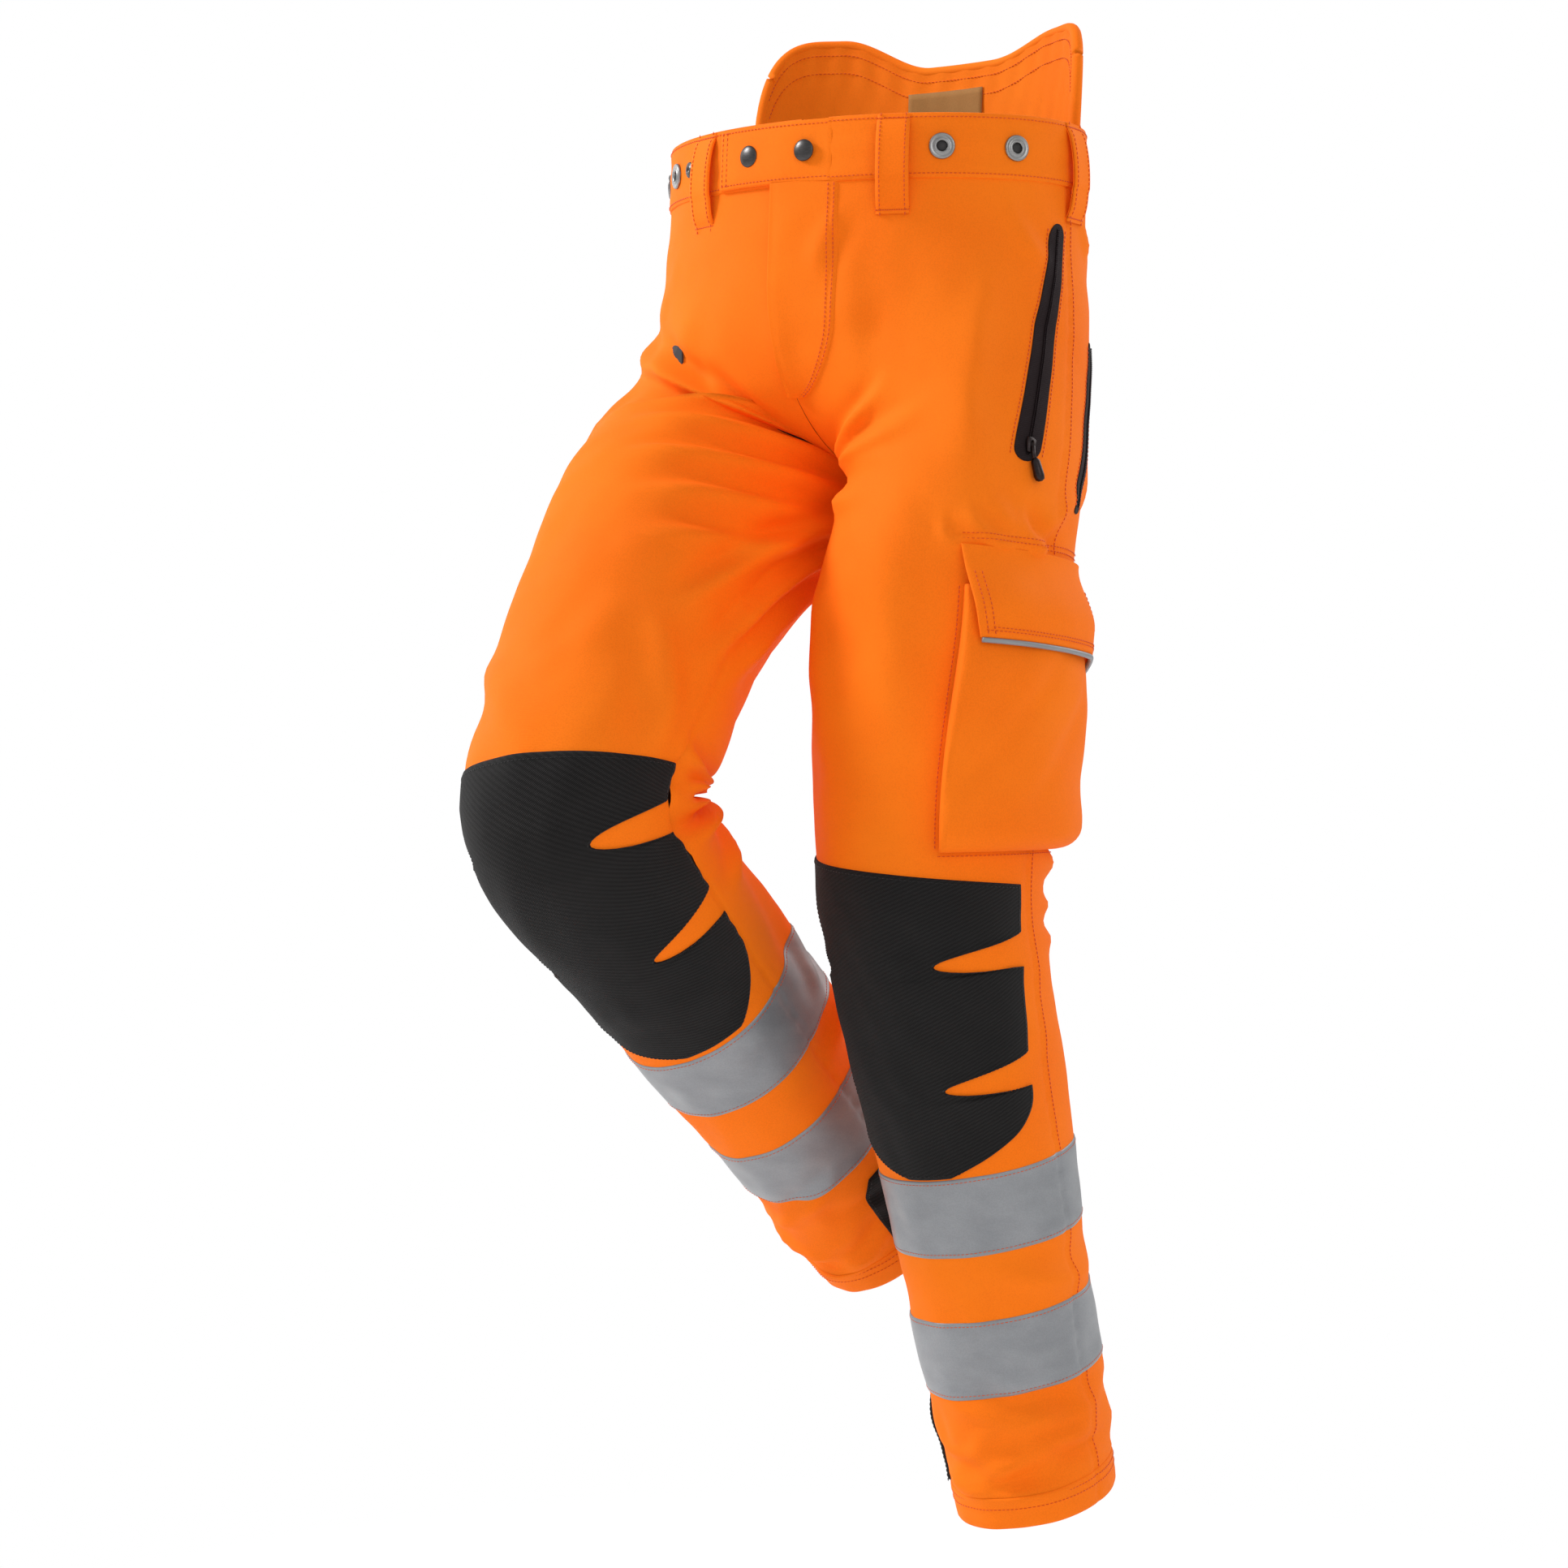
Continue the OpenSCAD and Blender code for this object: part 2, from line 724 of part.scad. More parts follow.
// The pocket is one bellows of cloth: up the front wall, across the front and down the rear
// wall, with its bottom row drawn in to the leg. Its mouth is open and the leg is its back.
cargo_rows = concat(steps(cargo_runs[0] + 14, cargo_runs[1] - 4, 5), [cargo_runs[1]]);
function cargo_bulge(run) =
    run >= cargo_runs[1] ? 3.4 : 8 + (cargo_depth - 8) * ease((run - cargo_runs[0]) / 90);

function cargo_face(inset) = [
    for (run = cargo_rows)
        let (
            bulge = max(cargo_bulge(run) - inset, 1.4),
            turns = steps(cargo_turns[0] + 0.5 * inset, cargo_turns[1] - 0.5 * inset, 7)
        )
        each concat([cargo_point(run, turns[0], 1)],
                    [for (turn = turns) cargo_point(run, turn, bulge)],
                    [cargo_point(run, turns[7], 1)])
];

module cargo_pocket() {
    color(orange)
        slab(cargo_face(0), cargo_face(cargo_wall), len(cargo_rows), 10);
}

flap_turns = [62.5, 109];
flap_face = 25;

module cargo_flap() {
    runs = steps(cargo_runs[0] - 8, cargo_runs[0] - 8 + flap_drop, 4);
    turns = steps(flap_turns[0], flap_turns[1], 7);
    function lift(i) = 6 + (flap_face - 6) * ease(i / 2.2);
    outer = [for (i = [0 : 4], turn = turns) cargo_point(runs[i], turn, lift(i) + 1.6)];
    inner = [for (i = [0 : 4], turn = turns) cargo_point(runs[i], turn, lift(i))];
    color(orange)
        slab(outer, inner, 5, len(turns));
}

module flap_piping() {
    turns = steps(flap_turns[0] + 0.6, flap_turns[1] - 0.6, 7);
    path = [for (turn = turns) cargo_point(cargo_runs[0] - 5 + flap_drop, turn, flap_face + 0.8)];
    color(silver)
        tube(path, 1.8);
}

waistband();
waist_elastic();
waist_tab();
tab_studs();
stud_sockets();
belt_loops();
brace_rings();
kidney_guard();
guard_foam();
guard_binding();
care_label();
hip_shell(1);  // hip_shell_left
hip_shell(-1);  // hip_shell_right
hip_lining(1);  // hip_lining_left
hip_lining(-1);  // hip_lining_right
seat_pocket();
fly_placket();
fly_zip();
fly_slider();
pocket_zip(1);  // pocket_zip_left
pocket_zip(-1);  // pocket_zip_right
pocket_slider(1);  // pocket_slider_left
pocket_slider(-1);  // pocket_slider_right
pocket_bags();
vent_zips();
hip_zone_cloth(1);  // hip_zone_left
thigh_shell(1);  // thigh_shell_left
thigh_pad(1);  // thigh_pad_left
thigh_lining(1);  // thigh_lining_left
knee_zone_cloth(1);  // knee_zone_left
knee_pad(1);  // knee_pad_left
knee_patch(1);  // knee_patch_left
shin_shell(1);  // shin_shell_left
shin_pad(1);  // shin_pad_left
shin_lining(1);  // shin_lining_left
bands(1);  // bands_left
ankle_guard(1);  // ankle_guard_left
hem(1);  // hem_left
hip_zone_cloth(-1);  // hip_zone_right
thigh_shell(-1);  // thigh_shell_right
thigh_pad(-1);  // thigh_pad_right
thigh_lining(-1);  // thigh_lining_right
knee_zone_cloth(-1);  // knee_zone_right
knee_pad(-1);  // knee_pad_right
knee_patch(-1);  // knee_patch_right
shin_shell(-1);  // shin_shell_right
shin_pad(-1);  // shin_pad_right
shin_lining(-1);  // shin_lining_right
bands(-1);  // bands_right
ankle_guard(-1);  // ankle_guard_right
hem(-1);  // hem_right
cargo_pocket();
cargo_flap();
flap_piping();
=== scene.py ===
"""Looks for the chainsaw protective trousers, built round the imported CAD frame.

Cloth is made from the same trouser surface as the CAD part: a place is a side (1 left, -1 right),
a run (mm of cloth below the waist) and a turn in degrees (0 centre front or inseam, 90 outseam,
180 centre back). Lengths here are millimetres, and metres only where Blender gets them.
"""

import json
import math

import bpy
import bmesh
import numpy as np
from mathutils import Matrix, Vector


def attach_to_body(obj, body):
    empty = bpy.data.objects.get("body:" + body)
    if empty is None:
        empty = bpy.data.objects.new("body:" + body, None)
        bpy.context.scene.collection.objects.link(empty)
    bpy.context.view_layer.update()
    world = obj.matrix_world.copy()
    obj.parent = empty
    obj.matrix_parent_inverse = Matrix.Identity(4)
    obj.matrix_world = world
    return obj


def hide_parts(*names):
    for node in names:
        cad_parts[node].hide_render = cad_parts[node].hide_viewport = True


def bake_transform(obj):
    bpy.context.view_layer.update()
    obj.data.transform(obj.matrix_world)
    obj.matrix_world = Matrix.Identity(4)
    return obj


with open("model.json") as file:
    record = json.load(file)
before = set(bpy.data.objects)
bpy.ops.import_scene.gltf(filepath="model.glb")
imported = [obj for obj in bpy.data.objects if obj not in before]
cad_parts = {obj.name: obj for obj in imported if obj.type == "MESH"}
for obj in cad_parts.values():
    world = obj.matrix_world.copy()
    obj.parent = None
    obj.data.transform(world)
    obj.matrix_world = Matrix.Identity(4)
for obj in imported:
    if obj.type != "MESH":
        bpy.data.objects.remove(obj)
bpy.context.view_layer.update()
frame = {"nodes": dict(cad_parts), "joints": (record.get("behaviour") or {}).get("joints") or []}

MM = 0.001
SIDES = {"left": 1, "right": -1}

# ---- the trouser surface, as in the CAD part ----

WAIST_HALF = (178, 130)
HIP_HALF = (182, 140)
CROTCH_RUN = 268
CROTCH_BACK = 15
HIP_RUN = 185
HIP_SPREAD = 103
HIP_FORWARD = 45
THIGH = 410
SHIN = 489
KNEE_RUN = HIP_RUN + THIGH
HEM_RUN = KNEE_RUN + SHIN
HALF_WIDTHS = (98, 89, 58)
FRONT_DEPTHS = {1: (118, 76, 63), -1: (118, 88, 63)}
BACK_DEPTHS = (112, 90, 78)
HIP_BEND = {1: 5, -1: 35}
KNEE_BEND = {1: 17, -1: 80}
LEAN = {1: (0, 4), -1: (-1.5, -6)}
HIP_BEND_SPAN = 170
KNEE_BEND_SPAN = 100
RING_HIP_SPAN = 230
RING_KNEE_SPAN = 250
CROTCH_START = 120
OUTER_START = 70
OUTER_SPAN = 270
EDGE_REACH = 80
SEAM_REACH = 75
SEAM_FADE = 70
LINE_STEP = 12


def ease(x):
    c = np.clip(x, 0, 1)
    return c * c * (3 - 2 * c)


def unit(v):
    return v / np.linalg.norm(v, axis=-1, keepdims=True)


def bone(side, forward, out):
    f, o = math.radians(forward), math.radians(out)
    return np.array([side * math.sin(o), -math.sin(f) * math.cos(o), -math.cos(f) * math.cos(o)])


def leg_direction(side, run, hip_span, knee_span):
    run = np.asarray(run, float)[..., None]
    thigh = bone(side, HIP_BEND[side], LEAN[side][0])
    shin = bone(side, HIP_BEND[side] - KNEE_BEND[side], LEAN[side][1])
    h = ease((run - HIP_RUN + hip_span / 2) / hip_span)
    k = ease((run - KNEE_RUN + knee_span / 2) / knee_span)
    return unit((1 - h) * np.array([0, 0, -1]) + h * ((1 - k) * thigh + k * shin))


def centre_line(side):
    count = math.ceil(HEM_RUN / LINE_STEP) + 2
    middles = (np.arange(count) + 0.5) * LINE_STEP
    ways = leg_direction(side, middles, HIP_BEND_SPAN, KNEE_BEND_SPAN)
    line = np.vstack([np.zeros(3), np.cumsum(ways * LINE_STEP, axis=0)])
    hip = [np.interp(HIP_RUN, np.arange(count + 1) * LINE_STEP, line[:, k]) for k in range(3)]
    return line + np.array([side * HIP_SPREAD, -HIP_FORWARD, -HIP_RUN]) - np.array(hip)


LINES = {side: centre_line(side) for side in (1, -1)}


def centre(side, run):
    run = np.asarray(run, float)
    line = LINES[side]
    runs = np.arange(len(line)) * LINE_STEP
    return np.stack([np.interp(run, runs, line[:, k]) for k in range(3)], -1)


def size_at(run, sizes):
    top, knee, hem = sizes
    runs = [CROTCH_RUN, HIP_RUN + 0.55 * THIGH, KNEE_RUN, KNEE_RUN + 0.45 * SHIN, HEM_RUN]
    return np.interp(run, runs, [top, 0.45 * top + 0.55 * knee + 2, knee, (knee + hem) / 2, hem])


def seat_half(run):
    return [np.interp(run, [0, HIP_RUN], [WAIST_HALF[k], HIP_HALF[k]]) for k in (0, 1)]


def seam_blend(run):
    t = np.clip((run - CROTCH_START) / (CROTCH_RUN - CROTCH_START), 0, 1)
    return 1 - np.sqrt(1 - t * t)


def near_front(turn, reach):
    return ease(1 - turn / reach)


def near_back(turn, reach):
    return ease(1 - (180 - turn) / reach)


class Rings:
    """The part of the surface that depends on the run alone, for a column of runs."""

    def __init__(self, side, runs):
        self.side = side
        self.run = np.asarray(runs, float).reshape(-1, 1)
        way = leg_direction(side, self.run, RING_HIP_SPAN, RING_KNEE_SPAN)
        self.out = unit(np.array([side, 0, 0]) - side * way[..., :1] * way)
        self.front = side * np.cross(way, self.out)
        self.centre = centre(side, self.run)
        self.width = size_at(self.run, HALF_WIDTHS)[..., None]
        self.front_depth = size_at(self.run, FRONT_DEPTHS[side])
        self.back_depth = size_at(self.run, BACK_DEPTHS)
        self.seat = seat_half(self.run)
        self.blend = seam_blend(self.run)

    def share(self, turn):
        edge = np.maximum(near_front(turn, EDGE_REACH), near_back(turn, EDGE_REACH))
        return edge * self.blend + (1 - edge) * ease((self.run - OUTER_START) / OUTER_SPAN)

    def plain(self, turn):
        turn = np.broadcast_to(turn, (len(self.run), np.shape(turn)[-1]))
        w = self.share(turn)[..., None]
        t = np.radians(turn)
        seat = np.stack([self.side * self.seat[0] * np.sin(t), -self.seat[1] * np.cos(t),
                         -self.run + 0 * t], -1)
        depth = np.where(np.sin(2 * t) >= 0, self.front_depth, self.back_depth)
        leg = (self.centre - self.out * self.width * np.cos(2 * t)[..., None]
               + self.front * (depth * np.sin(2 * t))[..., None])
        return (1 - w) * seat + w * leg

    def outward(self, turn):
        w = self.share(turn)[..., None]
        t = np.radians(turn)
        seat = unit(np.stack([self.side * np.sin(t) / self.seat[0], -np.cos(t) / self.seat[1], 0 * t], -1))
        leg = self.front * np.sin(2 * t)[..., None] - self.out * np.cos(2 * t)[..., None]
        return unit((1 - w) * seat + w * leg)

    def seam(self, way):
        y = (1 - self.blend) * way * self.seat[1] + self.blend * CROTCH_BACK
        return np.stack([0 * y, y, -self.run], -1)


CROTCH = np.array([0, CROTCH_BACK, -CROTCH_RUN])
CROTCH_FIX = {side: CROTCH - Rings(side, [CROTCH_RUN]).plain(np.array([[0.0]]))[0, 0] for side in (1, -1)}


def skin(side, runs, turns, depth=0.0):
    """Points of the surface: runs (n), turns (n, m) or (m), depth a number or (n, m)."""
    ring = Rings(side, runs)
    turn = np.mod(np.broadcast_to(turns, (len(ring.run), np.shape(turns)[-1])), 180.0)
    turn = np.where((turn == 0) & (np.broadcast_to(turns, turn.shape) > 90), 180.0, turn)
    f = near_front(turn, SEAM_REACH)[..., None]
    b = near_back(turn, SEAM_REACH)[..., None]
    above = (ring.run <= CROTCH_RUN)[..., None]
    front_fix = ring.seam(-1) - ring.plain(np.array([[0.0]]))
    back_fix = ring.seam(1) - ring.plain(np.array([[180.0]]))
    low_fix = np.exp(-(((ring.run - CROTCH_RUN) / SEAM_FADE) ** 2))[..., None] * CROTCH_FIX[side]
    fix = np.where(above, f * front_fix + b * back_fix, np.maximum(f, b) * low_fix)
    depth = np.broadcast_to(depth, turn.shape)[..., None]
    return ring.plain(turn) + fix + depth * ring.outward(turn)


def waist_point(turn, run, depth=0.0):
    """Points of the waist oval; the turn may go on past the centre front to the wearer's right."""
    turn, run, depth = np.broadcast_arrays(np.asarray(turn, float), run, depth)
    half = seat_half(run)
    t = np.radians(turn)
    flat = np.stack([half[0] * np.sin(t), -half[1] * np.cos(t), -run], -1)
    return flat + depth[..., None] * unit(np.stack([np.sin(t) / half[0], -np.cos(t) / half[1], 0 * t], -1))


# ---- folds of the outer cloth ----


def value_noise(x, y, seed):
    """Smooth noise from -1 to 1 on a unit grid."""
    xi, yi = np.floor(x), np.floor(y)
    fx, fy = ease(x - xi), ease(y - yi)

    def corner(i, j):
        h = np.sin(i * 127.1 + j * 311.7 + seed * 74.7) * 43758.5453
        return 2 * (h - np.floor(h)) - 1

    low = corner(xi, yi) * (1 - fx) + corner(xi + 1, yi) * fx
    high = corner(xi, yi + 1) * (1 - fx) + corner(xi + 1, yi + 1) * fx
    return low * (1 - fy) + high * fy


WAIST_GIRTH = 2.75


def girth(run):
    """Millimetres of cloth for one degree of turn."""
    return np.interp(run, [0, CROTCH_RUN, 450, 620, 850, HEM_RUN], [WAIST_GIRTH, 3.4, 3.2, 3.0, 2.4, 2.1])


def window(x, low, high, soft):
    return ease((x - low) / soft) * ease((high - x) / soft)


# Folds: where each starts and ends as (run, turn), its half width and its height.
FOLDS = {
    1: [
        ((262, 6), (215, 34), 8, 4.2), ((272, 10), (240, 48), 10, 4.0), ((286, 8), (300, 40), 9, 3.6),
        ((312, 68), (338, 80), 6, 2.8), ((308, 80), (338, 90), 6, 2.8), ((322, 62), (338, 70), 5, 2.2),
        ((60, 64), (110, 78), 9, 2.4), ((58, 100), (96, 112), 8, 2.6), ((64, 20), (120, 12), 9, 1.8),
        ((120, 60), (280, 66), 16, 1.8), ((300, 72), (345, 90), 9, 2.6),
        ((285, 100), (345, 84), 8, 2.2), ((330, 20), (520, 34), 18, 2.4),
        ((300, 50), (470, 52), 20, 1.6), ((560, 96), (600, 140), 9, 3.4),
        ((612, 104), (600, 150), 9, 4.0), ((640, 100), (628, 158), 9, 3.0),
        ((520, 110), (560, 160), 12, 3.0), ((880, 60), (905, 110), 10, 2.4),
        ((985, 40), (1005, 96), 8, 3.0), ((1015, 100), (1050, 40), 8, 3.2),
        ((1040, 20), (1060, 80), 7, 2.6), ((1030, 110), (1062, 160), 7, 3.0),
        ((700, 120), (880, 128), 14, 2.2), ((90, 20), (210, 26), 14, 1.2),
        ((240, 130), (300, 165), 12, 3.4), ((262, 110), (330, 150), 12, 2.8),
    ],
    -1: [
        ((264, 5), (200, 30), 8, 5.0), ((258, 14), (170, 52), 11, 5.4),
        ((232, 24), (150, 74), 13, 4.4), ((268, 8), (262, 44), 7, 5.6), ((282, 6), (300, 46), 7, 5.6),
        ((300, 4), (338, 42), 7, 5.2), ((322, 0), (372, 36), 8, 4.8), ((350, -2), (404, 28), 8, 4.4),
        ((290, -4), (450, 16), 8, 5.0), ((300, -10), (470, 4), 8, 5.0),
        ((310, 162), (470, 176), 9, 5.0), ((200, 62), (330, 82), 16, 3.4),
        ((180, 84), (300, 96), 16, 2.4), ((300, 60), (500, 66), 24, 2.6),
        ((470, 20), (556, 8), 12, 3.4), ((500, 80), (560, 40), 12, 2.4),
        ((560, 150), (548, 180), 9, 6.0), ((585, 128), (575, 178), 10, 7.0),
        ((612, 122), (600, 176), 10, 7.5), ((640, 126), (632, 180), 9, 6.0),
        ((660, 140), (700, 172), 10, 4.0), ((820, 140), (880, 176), 9, 3.4),
        ((880, 100), (905, 160), 9, 3.0), ((960, 20), (1000, 70), 9, 3.4),
        ((1010, 100), (1050, 30), 8, 3.4), ((1030, 10), (1064, 60), 7, 3.0),
        ((700, 150), (860, 165), 12, 3.0),
    ],
}

# A fold is a ridge with a hollow along one side, and it wanders on its way. The hollow's depth,
# offset and width are shares of the ridge's.
FOLD_STRENGTH = 1.8
FOLD_WANDER = 6
HOLLOW = (0.55, 1.7, 1.1)
KNEE_BACK_FOLDS = {1: 1.0, -1: 3.4}
HEM_FOLDS = 1.7


def fold(run, turn, start, end, half, height):
    scale = girth((start[0] + end[0]) / 2)
    x, y = run - start[0], (np.mod(turn - start[1] + 90, 180) - 90) * scale
    dx, dy = end[0] - start[0], (end[1] - start[1]) * scale
    length = math.hypot(dx, dy)
    along = (x * dx + y * dy) / length
    across = (y * dx - x * dy) / length + FOLD_WANDER * np.sin(along / length * 3.0)
    fade = window(along, -0.15 * length, 1.15 * length, 0.45 * length)
    deep, offset, width = HOLLOW
    hollow = deep * np.exp(-(((across - offset * half) / (width * half)) ** 2))
    return FOLD_STRENGTH * height * fade * (np.exp(-((across / half) ** 2)) - hollow)


def folds(side, run, turn):
    """Height of the cloth's folds above the plain surface."""
    run, turn = np.broadcast_arrays(np.asarray(run, float), np.asarray(turn, float))
    arc = np.mod(turn, 180) * 2
    c, s = np.cos(np.radians(arc)), np.sin(np.radians(arc))
    wide = value_noise(run / 85 + c, 1.6 * s + c, 3 + side) * 3.2
    fine = value_noise(run / 26 + 2 * s, 4.2 * c + run / 60, 9 + side) * 1.2
    total = wide + fine
    for start, end, half, height in FOLDS[side]:
        total = total + fold(run, turn, start, end, half, height)
    back = ease((turn - 100) / 30)
    knee = window(run, KNEE_RUN - 70, KNEE_RUN + 80, 50)
    crumple = np.sin(run / 9 + 3.2 * value_noise(run / 30, turn / 16, 21))
    total = total + KNEE_BACK_FOLDS[side] * back * knee * crumple
    hem = window(run, HEM_RUN - 130, HEM_RUN - 8, 50)
    total = total + HEM_FOLDS * hem * np.sin(run / 8 + 4 * value_noise(run / 26, turn / 18, 31 + side))
    calm = ease((run - 46) / 60)
    return np.where(run > HEM_RUN - 24, total * 0.6, total) * (0.15 + 0.85 * calm)


def seam_groove(run, turn, at, half=2.6, depth=1.1):
    across = (np.mod(turn - at + 90, 180) - 90) * girth(run)
    pucker = 1 + 0.5 * np.sin(run / 2.4)
    return -depth * pucker * np.exp(-((across / half) ** 2))


OUTSEAM = 91
FRONT_SEAM_SHADE = 0.6


def cloth_height(side, run, turn):
    """Height of the shell itself: its folds, and the seams sewn into it."""
    run, turn = np.broadcast_arrays(np.asarray(run, float), np.asarray(turn, float))
    total = folds(side, run, turn) + seam_groove(run, turn, OUTSEAM)
    inseam = ease((run - CROTCH_RUN) / 20)
    total = total + inseam * seam_groove(run, turn, 0)
    rise = ease((CROTCH_RUN + 8 - run) / 12)
    centre_seam = np.exp(-((np.minimum(turn, 180 - turn) * girth(run) / 3.0) ** 2))
    pinned = np.exp(-((np.minimum(turn, 180 - turn) / 4.0) ** 2)) * rise
    return total * (1 - pinned) - rise * FRONT_SEAM_SHADE * centre_seam


def skin_at(side, runs, turns, depth):
    """Points for matching arrays of runs and turns, where each point has a run of its own."""
    runs, turns, depth = np.broadcast_arrays(np.asarray(runs, float), turns, depth)
    flat = skin(side, runs.ravel(), turns.ravel()[:, None], depth.ravel()[:, None])
    return flat.reshape(runs.shape + (3,))


def on_cloth_at(side, runs, turns, lift=0.0):
    """Points on the folded shell for runs and turns that match or are a single number."""
    runs, turns = np.broadcast_arrays(np.asarray(runs, float), np.asarray(turns, float))
    return skin_at(side, runs, turns, cloth_height(side, runs, turns) + lift)


def on_cloth(side, runs, turns, lift=0.0):
    """Points on the folded shell for every run with every turn, lifted off it by a height."""
    turns = np.broadcast_to(turns, (len(runs), np.shape(turns)[-1]))
    height = cloth_height(side, np.asarray(runs, float)[:, None], turns)
    return skin(side, runs, turns, height + lift)


# ---- mesh helpers ----

MERGE_DISTANCE = 0.02
SEWN_LIFT = 0.2
RIM = 1.6
RIM_SHARE = 0.016
RIM_HEIGHTS = [0, 0.75, 1]
SLEEVE_COLUMNS = 150
SLEEVE_ROW_STEP = 4.0


def add_mesh(name, points, faces, material, uv=None):
    """A new object from points in millimetres; uv is one (u, v) in metres for each point."""
    mesh = bpy.data.meshes.new(name)
    mesh.from_pydata((np.asarray(points, float) * MM).tolist(), [], [tuple(f) for f in faces])
    if uv is not None:
        layer = mesh.uv_layers.new(name="cloth")
        loops = np.empty(len(mesh.loops), int)
        mesh.loops.foreach_get("vertex_index", loops)
        layer.data.foreach_set("uv", np.asarray(uv, np.float32)[loops].ravel())
    mesh.polygons.foreach_set("use_smooth", [True] * len(mesh.polygons))
    mesh.update()
    obj = bpy.data.objects.new(name, mesh)
    bpy.context.scene.collection.objects.link(obj)
    obj.data.materials.append(material)
    return obj


def grid_faces(rows, cols, closed=False, flip=False):
    last = cols if closed else cols - 1
    i, j = np.meshgrid(np.arange(rows - 1), np.arange(last), indexing="ij")
    a, b = i * cols + j, i * cols + (j + 1) % cols
    quads = np.stack([a, b, b + cols, a + cols], -1).reshape(-1, 4)
    return quads[:, ::-1] if flip else quads


def metres(across, down):
    """The (u, v) in metres of every point of a grid, from millimetres across and down."""
    return np.stack(np.broadcast_arrays(across, down), -1).reshape(-1, 2) * MM


def grid_object(name, side, points, runs, turns, material, closed=False):
    """An object from a grid on the cloth; there is one run for each row or for each point."""
    runs = np.reshape(runs, (len(points), -1))
    faces = grid_faces(*points.shape[:2], closed, flip=side > 0)
    return add_mesh(name, points.reshape(-1, 3), faces, material, metres(turns * girth(runs), runs))


def merge(obj):
    """Joins points that lie together, such as the two edges of the inseam."""
    data = bmesh.new()
    data.from_mesh(obj.data)
    bmesh.ops.remove_doubles(data, verts=data.verts, dist=MERGE_DISTANCE * MM)
    data.to_mesh(obj.data)
    data.free()


def thicken(obj, thickness):
    """Gives a sheet its thickness on the inner side."""
    modifier = obj.modifiers.new("thickness", "SOLIDIFY")
    modifier.thickness = thickness * MM
    modifier.offset = -1
    modifier.use_rim = True
    bpy.context.view_layer.update()
    shape = bpy.data.meshes.new_from_object(obj.evaluated_get(bpy.context.evaluated_depsgraph_get()))
    obj.modifiers.clear()
    obj.data = shape


def spaced(start, end, step):
    return np.linspace(start, end, max(2, int(round(abs(end - start) / step)) + 1))


def rimmed(values, edge):
    """Spaced values with two extra ones at each end, for a rounded rim, and the rim's heights."""
    low, high = values[0], values[-1]
    step = edge * np.sign(high - low)
    inner = values[(np.abs(values - low) > 1.5 * edge) & (np.abs(values - high) > 1.5 * edge)]
    start, end = [low, low + 0.35 * step, low + step], [high - step, high - 0.35 * step, high]
    heights = np.concatenate([RIM_HEIGHTS, np.ones(len(inner)), RIM_HEIGHTS[::-1]])
    return np.concatenate([start, inner, end]), heights


def laid_panel(name, side, runs, edges, columns, height, material, row_step=3.0):
    """A panel sewn on the shell. edges(run) gives its two side turns, and it has a rounded rim."""
    rows, row_heights = rimmed(spaced(*runs, row_step), RIM)
    share, column_heights = rimmed(np.linspace(0, 1, columns), RIM_SHARE)
    low, high = edges(rows)
    turns = low[:, None] + (high - low)[:, None] * share
    top = height * np.minimum(row_heights[:, None], column_heights)
    return grid_object(name, side, on_cloth(side, rows, turns, SEWN_LIFT + top), rows, turns, material)


def laid_sleeve(name, side, runs, height, material):
    """A ring of tape round the leg, with rounded edges."""
    rows, heights = rimmed(spaced(*runs, SLEEVE_ROW_STEP), RIM)
    turns = np.arange(SLEEVE_COLUMNS) * 180 / SLEEVE_COLUMNS
    points = on_cloth(side, rows, turns, SEWN_LIFT + height * heights[:, None])
    return grid_object(name, side, points, rows, turns, material, closed=True)


def revolve(profile, steps=40):
    """Points and faces of a turned shape; profile is (radius, height) from the axis outwards."""
    points, faces = [], []
    for k in range(steps):
        a = 2 * math.pi * k / steps
        points += [(r * math.cos(a), r * math.sin(a), z) for r, z in profile]
    n = len(profile)
    for k in range(steps):
        j = (k + 1) % steps
        faces += [(k * n + i + 1, j * n + i + 1, j * n + i, k * n + i) for i in range(n - 1)]
    return np.array(points), faces


def placed(points, origin, out, up=(0, 0, 1)):
    """Local points moved so that +Z is out and +Y is up, at an origin in millimetres."""
    out = unit(np.asarray(out, float))
    across = unit(np.cross(up, out))
    return np.asarray(origin) + points @ np.stack([across, np.cross(out, across), out])


def waist_normal(turn):
    t = math.radians(turn)
    return unit(np.array([math.sin(t) / WAIST_HALF[0], -math.cos(t) / WAIST_HALF[1], 0]))


class Pile:
    """Collects small shapes that become one object."""

    def __init__(self):
        self.points, self.faces, self.count = [], [], 0

    def add(self, points, faces):
        self.points.append(np.asarray(points, float))
        self.faces += [tuple(int(i) + self.count for i in f) for f in faces]
        self.count += len(points)

    def build(self, name, material):
        return add_mesh(name, np.concatenate(self.points), self.faces, material)


def path_frames(path):
    """The way along a path at each of its points, and two ways square to it."""
    ways = unit(np.gradient(path, axis=0))
    helper = np.where(np.abs(ways[:, 2:3]) > 0.9, [[0, 1.0, 0]], [[0, 0, 1.0]])
    across = unit(np.cross(ways, helper))
    return ways, across, np.cross(across, ways)


